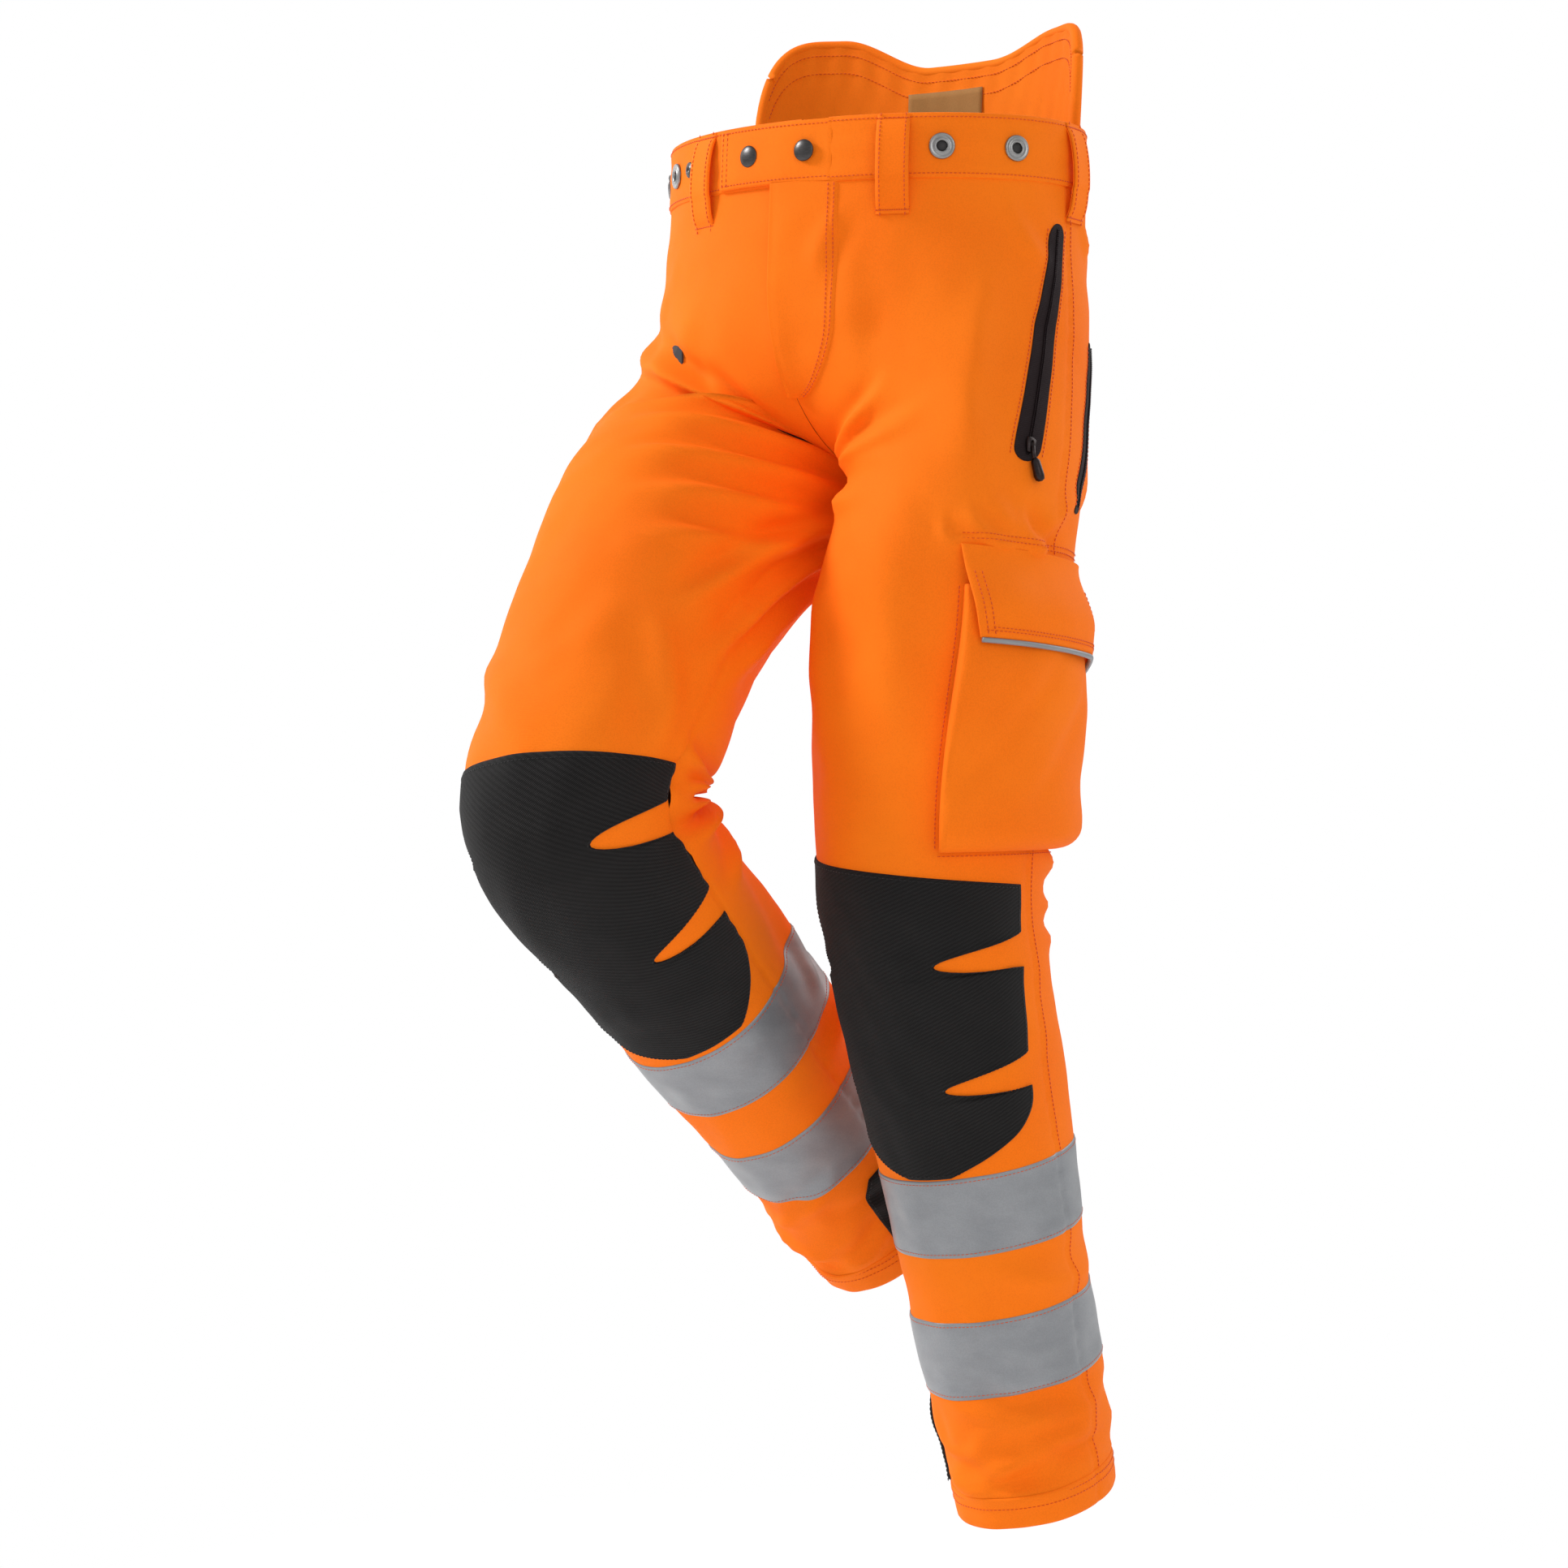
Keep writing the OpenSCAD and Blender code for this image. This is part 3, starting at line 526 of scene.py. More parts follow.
def tube_shape(path, radius, sides):
    """Points and faces of a tube along a path; radius is a number, or one for each point."""
    path = np.asarray(path, float)
    _, across, up = path_frames(path)
    angles = np.arange(sides)[:, None] * 2 * math.pi / sides
    ring = across[:, None] * np.cos(angles) + up[:, None] * np.sin(angles)
    radius = np.broadcast_to(radius, (len(path),))[:, None, None]
    points = (path[:, None] + radius * ring).reshape(-1, 3)
    faces = [tuple(f) for f in grid_faces(len(path), sides, closed=True, flip=True)]
    faces += [tuple(range(sides)), tuple(range(len(points) - 1, len(points) - sides - 1, -1))]
    return points, faces


# ---- stitching ----

STITCH_PITCH = 3.4
STITCH_LENGTH = 2.5
STITCH_RADIUS = 0.42
# Places along a stitch and how thick it is there, as shares of its length and radius.
STITCH_PROFILE = ((-0.5, 0.25), (-0.28, 1.0), (0.28, 1.0), (0.5, 0.25))
STITCH_FACES = [(i * 4 + 4 + k, i * 4 + 4 + (k + 1) % 4, i * 4 + (k + 1) % 4, i * 4 + k)
                for i in range(3) for k in range(4)] + [(0, 1, 2, 3), (15, 14, 13, 12)]


def resample(path, pitch):
    path = np.asarray(path, float)
    steps = np.linalg.norm(np.diff(path, axis=0), axis=1)
    at = np.concatenate([[0], np.cumsum(steps)])
    count = max(2, int(at[-1] / pitch))
    wanted = np.linspace(0, at[-1], count)
    return np.stack([np.interp(wanted, at, path[:, k]) for k in range(3)], -1)


def sew(pile, path, pitch=STITCH_PITCH, length=STITCH_LENGTH, radius=STITCH_RADIUS):
    """One row of stitches along a path: each a short thread, sunk at its two ends."""
    points = resample(path, pitch)
    for place, way, across, up in zip(points, *path_frames(points)):
        shape = []
        for share, fat in STITCH_PROFILE:
            for k in range(4):
                a = math.pi / 4 + k * math.pi / 2
                turn = across * math.cos(a) + up * math.sin(a)
                shape.append(place + way * share * length + turn * radius * fat)
        pile.add(shape, STITCH_FACES)


# ---- materials ----


def material(name, colour, roughness=0.8, metallic=0.0):
    made = bpy.data.materials.new(name)
    made.use_nodes = True
    shader = made.node_tree.nodes["Principled BSDF"]
    shader.inputs["Base Color"].default_value = (*colour, 1)
    shader.inputs["Roughness"].default_value = roughness
    shader.inputs["Metallic"].default_value = metallic
    return made, made.node_tree, shader


def link(tree, a, output, b, socket):
    tree.links.new(a.outputs[output], b.inputs[socket])


def coordinates(tree, kind, scale, angle=0.0):
    """Texture places of a kind, "UV" or "Object": metres times the scale, turned by an angle."""
    place = tree.nodes.new("ShaderNodeTexCoord")
    mapping = tree.nodes.new("ShaderNodeMapping")
    mapping.inputs["Scale"].default_value = scale
    mapping.inputs["Rotation"].default_value = (0, 0, math.radians(angle))
    link(tree, place, kind, mapping, "Vector")
    return mapping


def bands(tree, mapping, scale, direction="X", distortion=0.0):
    wave = tree.nodes.new("ShaderNodeTexWave")
    wave.bands_direction = direction
    wave.inputs["Scale"].default_value = scale
    wave.inputs["Distortion"].default_value = distortion
    link(tree, mapping, "Vector", wave, "Vector")
    return wave


def noise(tree, mapping, scale, detail=3.0):
    node = tree.nodes.new("ShaderNodeTexNoise")
    node.inputs["Scale"].default_value = scale
    node.inputs["Detail"].default_value = detail
    link(tree, mapping, "Vector", node, "Vector")
    return node


def mixed(tree, blend, factor, a, b):
    node = tree.nodes.new("ShaderNodeMix")
    node.data_type = "RGBA"
    node.blend_type = blend
    node.inputs[0].default_value = factor
    for socket, source in ((6, a), (7, b)):
        if isinstance(source, tuple):
            node.inputs[socket].default_value = (*source, 1)
        else:
            tree.links.new(source, node.inputs[socket])
    return node.outputs[2]


def ramp(tree, source, low, high, dark, light):
    node = tree.nodes.new("ShaderNodeValToRGB")
    node.color_ramp.elements[0].position = low
    node.color_ramp.elements[1].position = high
    node.color_ramp.elements[0].color = (*dark, 1)
    node.color_ramp.elements[1].color = (*light, 1)
    tree.links.new(source, node.inputs["Fac"])
    return node.outputs["Color"]


def bump(tree, shader, source, strength, distance):
    node = tree.nodes.new("ShaderNodeBump")
    node.inputs["Strength"].default_value = strength
    node.inputs["Distance"].default_value = distance
    tree.links.new(source, node.inputs["Height"])
    link(tree, node, "Normal", shader, "Normal")
    return node


def woven(name, colour, shade, rib, roughness, depth, glow=0.0, sheen=0.15):
    """Plain or twill weave: crossing threads rib millimetres apart, with slight colour drift and, if glow
    is given, a painted glow in the cloth's own colour.
    """
    made, tree, shader = material(name, colour, roughness)
    weave = coordinates(tree, "UV", (1000 / rib, 1000 / rib, 1))
    warp = bands(tree, weave, 0.5, "X")
    weft = bands(tree, weave, 0.5, "Y")
    threads = mixed(tree, "MULTIPLY", 1.0, warp.outputs["Color"], weft.outputs["Color"])
    drift = noise(tree, coordinates(tree, "Object", (7, 7, 7)), 1.0, 4.0)
    tone = ramp(tree, drift.outputs["Fac"], 0.3, 0.7, shade, colour)
    fleck = noise(tree, coordinates(tree, "Object", (900, 900, 900)), 1.0, 2.0)
    speckled = mixed(tree, "MULTIPLY", 0.35, tone,
                     ramp(tree, fleck.outputs["Fac"], 0.35, 0.65, (0.78, 0.78, 0.78), (1, 1, 1)))
    tree.links.new(speckled, shader.inputs["Base Color"])
    bump(tree, shader, threads, depth, 0.0004)
    shader.inputs["Sheen Weight"].default_value = sheen
    shader.inputs["Sheen Roughness"].default_value = 0.5
    shader.inputs["Specular IOR Level"].default_value = 0.15
    # Painted glow: the cloth gives out light in its own colour, as no lamp in the scene does, which
    # brightens its colour.
    if glow:
        tree.links.new(speckled, shader.inputs["Emission Color"])
        shader.inputs["Emission Strength"].default_value = glow
    return made


def twill(name, colour, light, rib, roughness):
    """Heavy twill: fine diagonal ribs, with a painted highlight on the thread tops and painted shade
    between them.
    """
    made, tree, shader = material(name, colour, roughness)
    ribs = bands(tree, coordinates(tree, "UV", (1000 / rib, 1000 / rib, 1), 58), 0.5, "X", 1.2)
    cross = bands(tree, coordinates(tree, "UV", (1000 / rib, 1000 / rib, 1), -20), 0.62, "Y", 0.8)
    threads = mixed(tree, "MULTIPLY", 0.75, ribs.outputs["Color"], cross.outputs["Color"])
    # The same rib pattern as the bump sets the colour: a painted highlight on the thread tops and painted
    # shade in the furrows between them.
    tone = ramp(tree, threads, 0.15, 0.9, colour, light)
    drift = noise(tree, coordinates(tree, "Object", (18, 18, 18)), 1.0, 5.0)
    worn = mixed(tree, "MULTIPLY", 0.5, tone,
                 ramp(tree, drift.outputs["Fac"], 0.35, 0.7, (0.7, 0.7, 0.7), (1.15, 1.12, 1.1)))
    tree.links.new(worn, shader.inputs["Base Color"])
    bump(tree, shader, threads, 0.55, 0.0006)
    shader.inputs["Sheen Weight"].default_value = 0.06
    shader.inputs["Specular IOR Level"].default_value = 0.14
    return made


def reflective_tape():
    """Grey glass-bead tape: a satin skin with a fine bead grain, soft creases and painted shade in their
    hollows.
    """
    made, tree, shader = material("reflective_tape", (0.27, 0.285, 0.305), 0.42, 0.25)
    beads = tree.nodes.new("ShaderNodeTexVoronoi")
    beads.inputs["Scale"].default_value = 1.0
    link(tree, coordinates(tree, "UV", (900, 900, 1)), "Vector", beads, "Vector")
    creases = noise(tree, coordinates(tree, "Object", (30, 30, 60)), 1.0, 5.0)
    # The crease noise that sets the bump also sets the tone: blotchy tone of the tape, and painted shade in
    # the crease hollows where it is darker.
    tone = ramp(tree, creases.outputs["Fac"], 0.3, 0.75, (0.235, 0.245, 0.26), (0.30, 0.31, 0.325))
    grain = ramp(tree, beads.outputs["Distance"], 0.0, 0.7, (0.82, 0.82, 0.82), (1, 1, 1))
    tree.links.new(mixed(tree, "MULTIPLY", 0.6, tone, grain), shader.inputs["Base Color"])
    bump(tree, shader, creases.outputs["Fac"], 0.25, 0.0015)
    return made


def brushed(name, colour, roughness):
    made, tree, shader = material(name, colour, roughness, 1.0)
    marks = noise(tree, coordinates(tree, "Object", (260, 260, 1400)), 1.0, 3.0)
    tree.links.new(ramp(tree, marks.outputs["Fac"], 0.3, 0.7, tuple(0.75 * c for c in colour), colour),
                   shader.inputs["Base Color"])
    bump(tree, shader, marks.outputs["Fac"], 0.08, 0.0002)
    return made


ORANGE = (1.0, 0.205, 0.005)
DEEP_ORANGE = (0.96, 0.168, 0.003)
MATERIALS = {
    # The shell cloth's glow is painted light: a faint emission in its own orange.
    "shell_cloth": woven("shell_cloth", ORANGE, DEEP_ORANGE, 1.1, 0.78, 0.35, glow=0.05, sheen=0.0),
    "thread": woven("orange_thread", (0.80, 0.105, 0.004), (0.7, 0.085, 0.003), 0.5, 0.6, 0.2),
    "black_twill": twill("black_twill", (0.007, 0.0065, 0.0065), (0.036, 0.034, 0.034), 1.35, 0.88),
    "black_thread": woven("black_thread", (0.02, 0.02, 0.02), (0.01, 0.01, 0.01), 0.5, 0.6, 0.2),
    "reflective_tape": reflective_tape(),
    "lining_cloth": woven("lining_mesh", (0.055, 0.06, 0.066), (0.03, 0.033, 0.037), 2.2, 0.9, 0.6),
    "pad_fibre": woven("pad_fibre", (0.75, 0.75, 0.68), (0.6, 0.6, 0.54), 1.6, 0.95, 0.6),
    "elastic": woven("elastic", (0.03, 0.03, 0.03), (0.015, 0.015, 0.015), 1.4, 0.8, 0.6),
    "foam": woven("guard_foam", (0.05, 0.05, 0.05), (0.03, 0.03, 0.03), 2.4, 0.95, 0.3),
    "label_cloth": woven("label_cloth", (0.42, 0.2, 0.06), (0.33, 0.15, 0.04), 0.8, 0.85, 0.3),
    "zip_tape": twill("zip_tape", (0.014, 0.007, 0.008), (0.03, 0.017, 0.019), 0.9, 0.85),
    "zip_coil": brushed("zip_coil", (0.028, 0.018, 0.02), 0.55),
    "zip_metal": brushed("zip_metal", (0.045, 0.035, 0.035), 0.38),
    "stud_metal": brushed("gunmetal", (0.09, 0.085, 0.085), 0.36),
    "ring_metal": brushed("nickel", (0.36, 0.355, 0.35), 0.34),
    # Painted shade: the dark colour of the discs that fill the eyelets' holes.
    "painted_hole_shade": material("painted_hole_shade", (0.03, 0.028, 0.028), 0.7)[0],
}

# ---- how pieces follow the bodies ----


def follow_hip(obj, side_name):
    """Cloth that crosses the hip: its placement is baked into its points."""
    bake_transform(obj)


def follow_knee(obj, side_name):
    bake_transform(obj)


def attach(obj, body, node):
    """A visual piece that rides on one body and takes the place of one CAD node."""
    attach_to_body(obj, body)
    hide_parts(node)


def close_pile(pile, name, material_name, follow, body):
    obj = pile.build(name, MATERIALS[material_name])
    follow(obj, body)


# ---- camera, light and floor ----

CAMERA_AZIMUTH = 35
CAMERA_DISTANCE = 3.0
CAMERA_HEIGHT = -0.485
CAMERA_PAN = -1.4
CAMERA_PITCH = -0.5
LENS = 86.1
FLOOR_HEIGHT = -1.24


def add_camera():
    a, pan, pitch = (math.radians(v) for v in (CAMERA_AZIMUTH, CAMERA_PAN, CAMERA_PITCH))
    back = Vector((math.sin(a), -math.cos(a), 0))
    right = Vector((math.cos(a), math.sin(a), 0))
    level = (-back) * math.cos(pan) + right * math.sin(pan)
    look = level * math.cos(pitch) + Vector((0, 0, 1)) * math.sin(pitch)
    camera = bpy.data.objects.new("camera", bpy.data.cameras.new("camera"))
    camera.data.lens = LENS
    camera.data.sensor_width = 36
    camera.location = back * CAMERA_DISTANCE + Vector((0, 0, CAMERA_HEIGHT))
    camera.rotation_euler = look.to_track_quat("-Z", "Y").to_euler()
    bpy.context.scene.collection.objects.link(camera)
    bpy.context.scene.camera = camera


def add_light(name, energy, size, location, target=(0, 0, -0.5)):
    lamp = bpy.data.lights.new(name, "AREA")
    lamp.energy = energy
    lamp.size = size
    obj = bpy.data.objects.new(name, lamp)
    obj.location = location
    obj.rotation_euler = (Vector(target) - Vector(location)).to_track_quat("-Z", "Y").to_euler()
    bpy.context.scene.collection.objects.link(obj)


# Metres from the origin between which the floor fades to white, and the floor's half width in mm.
FLOOR_FADE = (1.26, 1.5)
FLOOR_HALF = 30000


def white_for_camera(tree, output, lit, white, fade=None):
    """Shows plain white to the camera and the lit shader to the light, fading by distance."""
    nodes, links = tree.nodes, tree.links
    path = nodes.new("ShaderNodeLightPath").outputs["Is Camera Ray"]
    mix = nodes.new("ShaderNodeMixShader")
    if fade:
        place = nodes.new("ShaderNodeNewGeometry")
        length = nodes.new("ShaderNodeVectorMath")
        length.operation = "LENGTH"
        links.new(place.outputs["Position"], length.inputs[0])
        share = nodes.new("ShaderNodeMapRange")
        share.interpolation_type = "SMOOTHSTEP"
        share.inputs["From Min"].default_value, share.inputs["From Max"].default_value = fade
        links.new(length.outputs["Value"], share.inputs["Value"])
        both = nodes.new("ShaderNodeMath")
        both.operation = "MULTIPLY"
        links.new(path, both.inputs[0])
        links.new(share.outputs["Result"], both.inputs[1])
        path = both.outputs["Value"]
    links.new(path, mix.inputs[0])
    links.new(lit, mix.inputs[1])
    links.new(white, mix.inputs[2])
    links.new(mix.outputs[0], output)


def add_studio():
    world = bpy.data.worlds.new("studio")
    world.use_nodes = True
    nodes = world.node_tree.nodes
    nodes["Background"].inputs["Color"].default_value = (1, 1, 1, 1)
    nodes["Background"].inputs["Strength"].default_value = 0.6
    white = nodes.new("ShaderNodeBackground")
    white.inputs["Color"].default_value = (1, 1, 1, 1)
    white_for_camera(world.node_tree, nodes["World Output"].inputs["Surface"],
                     nodes["Background"].outputs[0], white.outputs[0])
    bpy.context.scene.world = world
    add_light("key", 112, 0.9, (-2.7, -1.9, 1.9))
    add_light("fill", 20, 1.8, (3.2, -1.6, 0.9))
    add_light("back", 40, 2.4, (1.0, 3.0, 1.6))
    add_light("left_fill", 18, 2.4, (-3.2, 0.6, 0.3))
    floor_material = material("floor", (0.93, 0.93, 0.93), 0.9)[0]
    tree = floor_material.node_tree
    surface = next(n for n in tree.nodes if n.type == "OUTPUT_MATERIAL").inputs["Surface"]
    glow = tree.nodes.new("ShaderNodeEmission")
    white_for_camera(tree, surface, surface.links[0].from_socket, glow.outputs[0], FLOOR_FADE)
    corners = [(x * FLOOR_HALF, y * FLOOR_HALF, FLOOR_HEIGHT / MM)
               for x, y in ((-1, -1), (1, -1), (1, 1), (-1, 1))]
    floor = add_mesh("floor", corners, [(0, 1, 2, 3)], floor_material)
    bpy.context.scene.view_settings.view_transform = "Standard"


# ---- shells and linings ----

# The flat cuts, in metres and square metres: the widest girth, the longest line and the area of
# this file's ring surface with the hips and knees set straight and no folds, as the mean of the
# two legs. The linings' cuts are at their own depth. Both legs have one cut, so the pose, the folds
# and the difference between the legs make their areas differ from it.
UPPER_LINING_CUT = (0.620, 0.460)
UPPER_LINING_AREA = 0.1950
LOWER_LINING_CUT = (0.559, 0.671)
LOWER_LINING_AREA = 0.2996

SPLIT_RUN = 410
COLUMNS = 168
ROW_STEP = 5.0
SHELL_TOP = 40
LINING_DEPTH = -9.2


def shell_piece(name, side, runs, turns):
    points = on_cloth(side, runs, turns)
    return grid_object(name, side, points, runs, turns, MATERIALS["shell_cloth"])


def build_shells(side_name):
    side = SIDES[side_name]
    turns = np.linspace(0, 180, COLUMNS + 1)
    upper = shell_piece("upper_leg_" + side_name, side, spaced(SHELL_TOP, SPLIT_RUN, ROW_STEP), turns)
    lower = shell_piece("lower_leg_" + side_name, side, spaced(SPLIT_RUN, HEM_RUN, ROW_STEP), turns)
    merge(upper)
    merge(lower)
    follow_hip(upper, side_name)
    follow_knee(lower, side_name)
    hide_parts("hip_shell_" + side_name, "hip_zone_" + side_name)
    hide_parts("thigh_shell_" + side_name, "knee_zone_" + side_name, "shin_shell_" + side_name)


def build_linings(side_name):
    side = SIDES[side_name]
    turns = np.linspace(0, 180, COLUMNS // 2 + 1)
    for name, low, high, nodes, follow, cut, area, held_by in (
        ("upper_lining_", 46, SPLIT_RUN, ("hip_lining_", "thigh_lining_"), follow_hip,
         UPPER_LINING_CUT, UPPER_LINING_AREA, "waistband_cloth"),
        ("lower_lining_", SPLIT_RUN, HEM_RUN - 4, ("shin_lining_",), follow_knee,
         LOWER_LINING_CUT, LOWER_LINING_AREA, "upper_lining_" + side_name),
    ):
        runs = spaced(low, high, 10)
        height = 0.5 * folds(side, runs[:, None], turns[None, :])
        points = skin(side, runs, turns, LINING_DEPTH + height)
        obj = grid_object(name + side_name, side, points, runs, turns, MATERIALS["lining_cloth"])
        merge(obj)
        follow(obj, side_name)
        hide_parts(*[n + side_name for n in nodes])


PAD_TURNS = (7.5, 105)
PAD_BELOW_CLOTH = 2.2
PAD_THICKNESS = 3.5
# The right hip is bent, so its cloth moves wholly with the thigh only from further down.
THIGH_PAD_TOP = {"left": 354, "right": 384}


def build_pads(side_name):
    """The saw protection pads lie between shell and lining, one for each zone."""
    side = SIDES[side_name]
    for name, low, high in (("thigh_pad_", THIGH_PAD_TOP[side_name], 558), ("knee_pad_", 566, 658),
                            ("shin_pad_", 665, HEM_RUN - 50)):
        runs = spaced(low, high, 8)
        turns = np.linspace(*PAD_TURNS, 40)
        height = cloth_height(side, runs[:, None], turns[None, :])
        outer = skin(side, runs, turns, height - PAD_BELOW_CLOTH)
        obj = grid_object("soft_" + name + side_name, side, outer, runs, turns, MATERIALS["pad_fibre"])
        thicken(obj, PAD_THICKNESS)
        follow_knee(obj, side_name)
        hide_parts(name + side_name)


# ---- knee patches, bands, ankle guards and hems ----

PATCH_TOPS = {"left": (564, 589), "right": (563, 572)}
PATCH_BOTTOMS = {"left": 802, "right": 786}
PATCH_SLASHES = {"left": (642, 734), "right": (610, 692)}
PATCH_TURNS = {"left": (11, 88), "right": (0, 77)}
# How far the slashes reach in from the inner and the outer side edge, in degrees.
SLASH_REACHES = {"left": (10, 27), "right": (24, 15)}
# How many degrees the lower corners are drawn in at the inner and the outer side edge.
PATCH_ROUNDING = {"left": (30, 30), "right": (16, 40)}
PATCH_CORNER = 58
PATCH_HEIGHT = 1.5
PATCH_STITCH_LIFT = 1.75
SLASH_ABOVE = 17.0
SLASH_BELOW = 9.0


def slash(run, tip):
    """How far a slash cuts in, from 0 to 1: a slanting finger with a rounded tip."""
    above = np.clip((run - tip + SLASH_ABOVE) / SLASH_ABOVE, 0, 1)
    below = np.clip((tip + SLASH_BELOW - run) / SLASH_BELOW, 0, 1)
    return np.where(run < tip, np.sin(above * math.pi / 2) ** 1.5, np.sin(below * math.pi / 2) ** 0.55)


def patch_edges(side_name):
    bottom_run = PATCH_BOTTOMS[side_name]
    inner, outer = PATCH_TURNS[side_name]
    first, second = PATCH_SLASHES[side_name]
    inner_reach, outer_reach = SLASH_REACHES[side_name]
    inner_round, outer_round = PATCH_ROUNDING[side_name]

    def edges(run):
        bottom = np.clip((run - bottom_run + PATCH_CORNER) / PATCH_CORNER, 0, 1) ** 2.2
        cut = slash(run, first) + slash(run, second)
        taper = 4 * ease((run - 570) / 160)
        return (inner + inner_round * bottom + inner_reach * cut,
                outer - outer_round * bottom - taper - outer_reach * cut)

    return edges


def build_patch(side_name, pile):
    """Rows follow the patch from its slanting top edge down; columns spread between its edges."""
    side = SIDES[side_name]
    edges = patch_edges(side_name)
    top_inner, top_outer = PATCH_TOPS[side_name]
    bottom_run = PATCH_BOTTOMS[side_name]
    inner, outer = PATCH_TURNS[side_name]
    rows, row_heights = rimmed(spaced(top_inner, bottom_run, 1.5), RIM)
    share, column_heights = rimmed(np.linspace(0, 1, 48), RIM_SHARE)

    def place(row, part):
        low, high = edges(row)
        turn = low + (high - low) * part
        slant = (top_outer - top_inner) * (turn - inner) / (outer - inner)
        return row + slant * (1 - ease((row - top_inner) / 62)), turn

    runs, turns = place(rows[:, None], share[None, :])
    heights = SEWN_LIFT + PATCH_HEIGHT * np.minimum(row_heights[:, None], column_heights[None, :])
    points = on_cloth_at(side, runs, turns, heights)
    patch = grid_object("knee_patch_cloth_" + side_name, side, points, runs, turns,
                        MATERIALS["black_twill"])
    follow_knee(patch, side_name)
    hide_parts("knee_patch_" + side_name)
    border = spaced(top_inner + 3, bottom_run - 3, 1.5)
    for part in (0.018, 0.982):
        sew(pile, on_cloth_at(side, *place(border, part), PATCH_STITCH_LIFT))
    across = np.linspace(0.02, 0.98, 70)
    for row in (top_inner + 3, bottom_run - 3):
        sew(pile, on_cloth_at(side, *place(row, across), PATCH_STITCH_LIFT))


BAND_TOPS = {"left": (803, 917), "right": (790, 904)}
BAND_HEIGHT = 62


def build_bands(side_name, pile):
    side = SIDES[side_name]
    turns = np.linspace(0, 180, 160)
    for name, top in zip(("upper", "lower"), BAND_TOPS[side_name]):
        band = laid_sleeve(f"{name}_band_{side_name}", side, (top, top + BAND_HEIGHT), 0.7,
                           MATERIALS["reflective_tape"])
        attach(band, side_name + "_shin", "bands_" + side_name)
        for run in (top + 3, top + BAND_HEIGHT - 3):
            sew(pile, on_cloth_at(side, run, turns, 1.0), radius=0.3)


ANKLE_RUNS = (984, HEM_RUN - 27)
ANKLE_TURNS = 17


def build_ankle_guard(side_name, pile):
    side = SIDES[side_name]

    def edges(run):
        rounding = 5 * np.clip((ANKLE_RUNS[0] + 22 - run) / 22, 0, 1) ** 2
        return -ANKLE_TURNS + rounding, ANKLE_TURNS - rounding

    guard = laid_panel("ankle_guard_cloth_" + side_name, side, ANKLE_RUNS, edges, 48, 2.2,
                       MATERIALS["black_twill"], row_step=2.0)
    attach(guard, side_name + "_shin", "ankle_guard_" + side_name)
    runs = spaced(ANKLE_RUNS[0] + 3, ANKLE_RUNS[1], 3)
    low, high = edges(runs)
    for turns in (low + 1, high - 1):
        sew(pile, on_cloth_at(side, runs, turns, 2.5))


# Millimetres above the hem's edge and off the shell, from the outer edge down and up inside.
HEM_PROFILE = ((26, 0.1), (25.4, 0.9), (24, 1.1), (16, 1.2), (8, 1.2), (2, 1.0), (0.6, 0.4), (0, -0.6),
               (0.6, -1.8), (4, -2.6), (14, -4.5), (26, -8.6))


def build_hem(side_name, pile):
    """The hem is the shell turned up: a doubled ring with a rounded lower edge."""
    side = SIDES[side_name]
    turns = np.arange(160) * 180 / 160
    above, lift = np.array(HEM_PROFILE).T
    runs = HEM_RUN - above
    points = on_cloth(side, runs, turns, lift[:, None])
    hem = grid_object("hem_cloth_" + side_name, side, points, runs, turns, MATERIALS["shell_cloth"],
                      closed=True)
    attach(hem, side_name + "_shin", "hem_" + side_name)
    path_turns = np.linspace(0, 180, 170)
    for run in (HEM_RUN - 22, HEM_RUN - 16):
        sew(pile, on_cloth_at(side, run, path_turns, 1.4))


# ---- seams of the shell ----

SEAM_STITCH_LIFT = 0.35


def sew_leg_seams(side_name, upper_pile, lower_pile):
    side = SIDES[side_name]
    for pile, low, high in ((upper_pile, 54, SPLIT_RUN), (lower_pile, SPLIT_RUN, HEM_RUN - 28)):
        sew(pile, on_cloth_at(side, spaced(low, high, 4), OUTSEAM + 2.0, SEAM_STITCH_LIFT))
    rise = spaced(60, CROTCH_RUN - 6, 4)
    sew(upper_pile, on_cloth_at(side, rise, 180 - 5 / girth(rise), SEAM_STITCH_LIFT))


def fly_edge(run):
    return 16 * np.sqrt(np.clip(1 - (np.clip(run - 150, 0, None) / 62) ** 2, 0, 1)) + 1.5


def build_fly(pile):
    """The left front overlaps as the placket, raised over the zip and sewn with a J."""
    runs = spaced(48, 211.5, 3)
    share = rimmed(np.linspace(0, 1, 26), 0.03)[0]
    outer = fly_edge(runs)
    turns = -1.0 + (outer + 1.0)[:, None] * share[None, :]
    base = skin(1, runs, np.abs(turns), cloth_height(1, runs[:, None], np.abs(turns)))
    base[..., 0] = np.where(turns < 0, -np.abs(base[..., 0]), base[..., 0])
    lift = 5.4 * (1 - share) ** 1.6 + 1.0
    lift = np.where(share > 0.97, 0.1, lift) * np.where(share < 0.01, 0.1, 1)
    ring = Rings(1, runs)
    points = base + ring.outward(np.abs(turns)) * lift[None, :, None]
    placket = grid_object("fly_cloth", 1, points, runs, turns, MATERIALS["shell_cloth"])
    attach(placket, "waist", "fly_placket")
    j_runs = spaced(52, 210.5, 3)
    for inset in (1.0, 2.6):
        j_turns = np.maximum(fly_edge(j_runs) - inset, 0.5)
        sew(pile, on_cloth_at(1, j_runs, j_turns, 1.7))


# ---- waistband, tab, loops, studs and rings ----

BAND_BOTTOM = 50


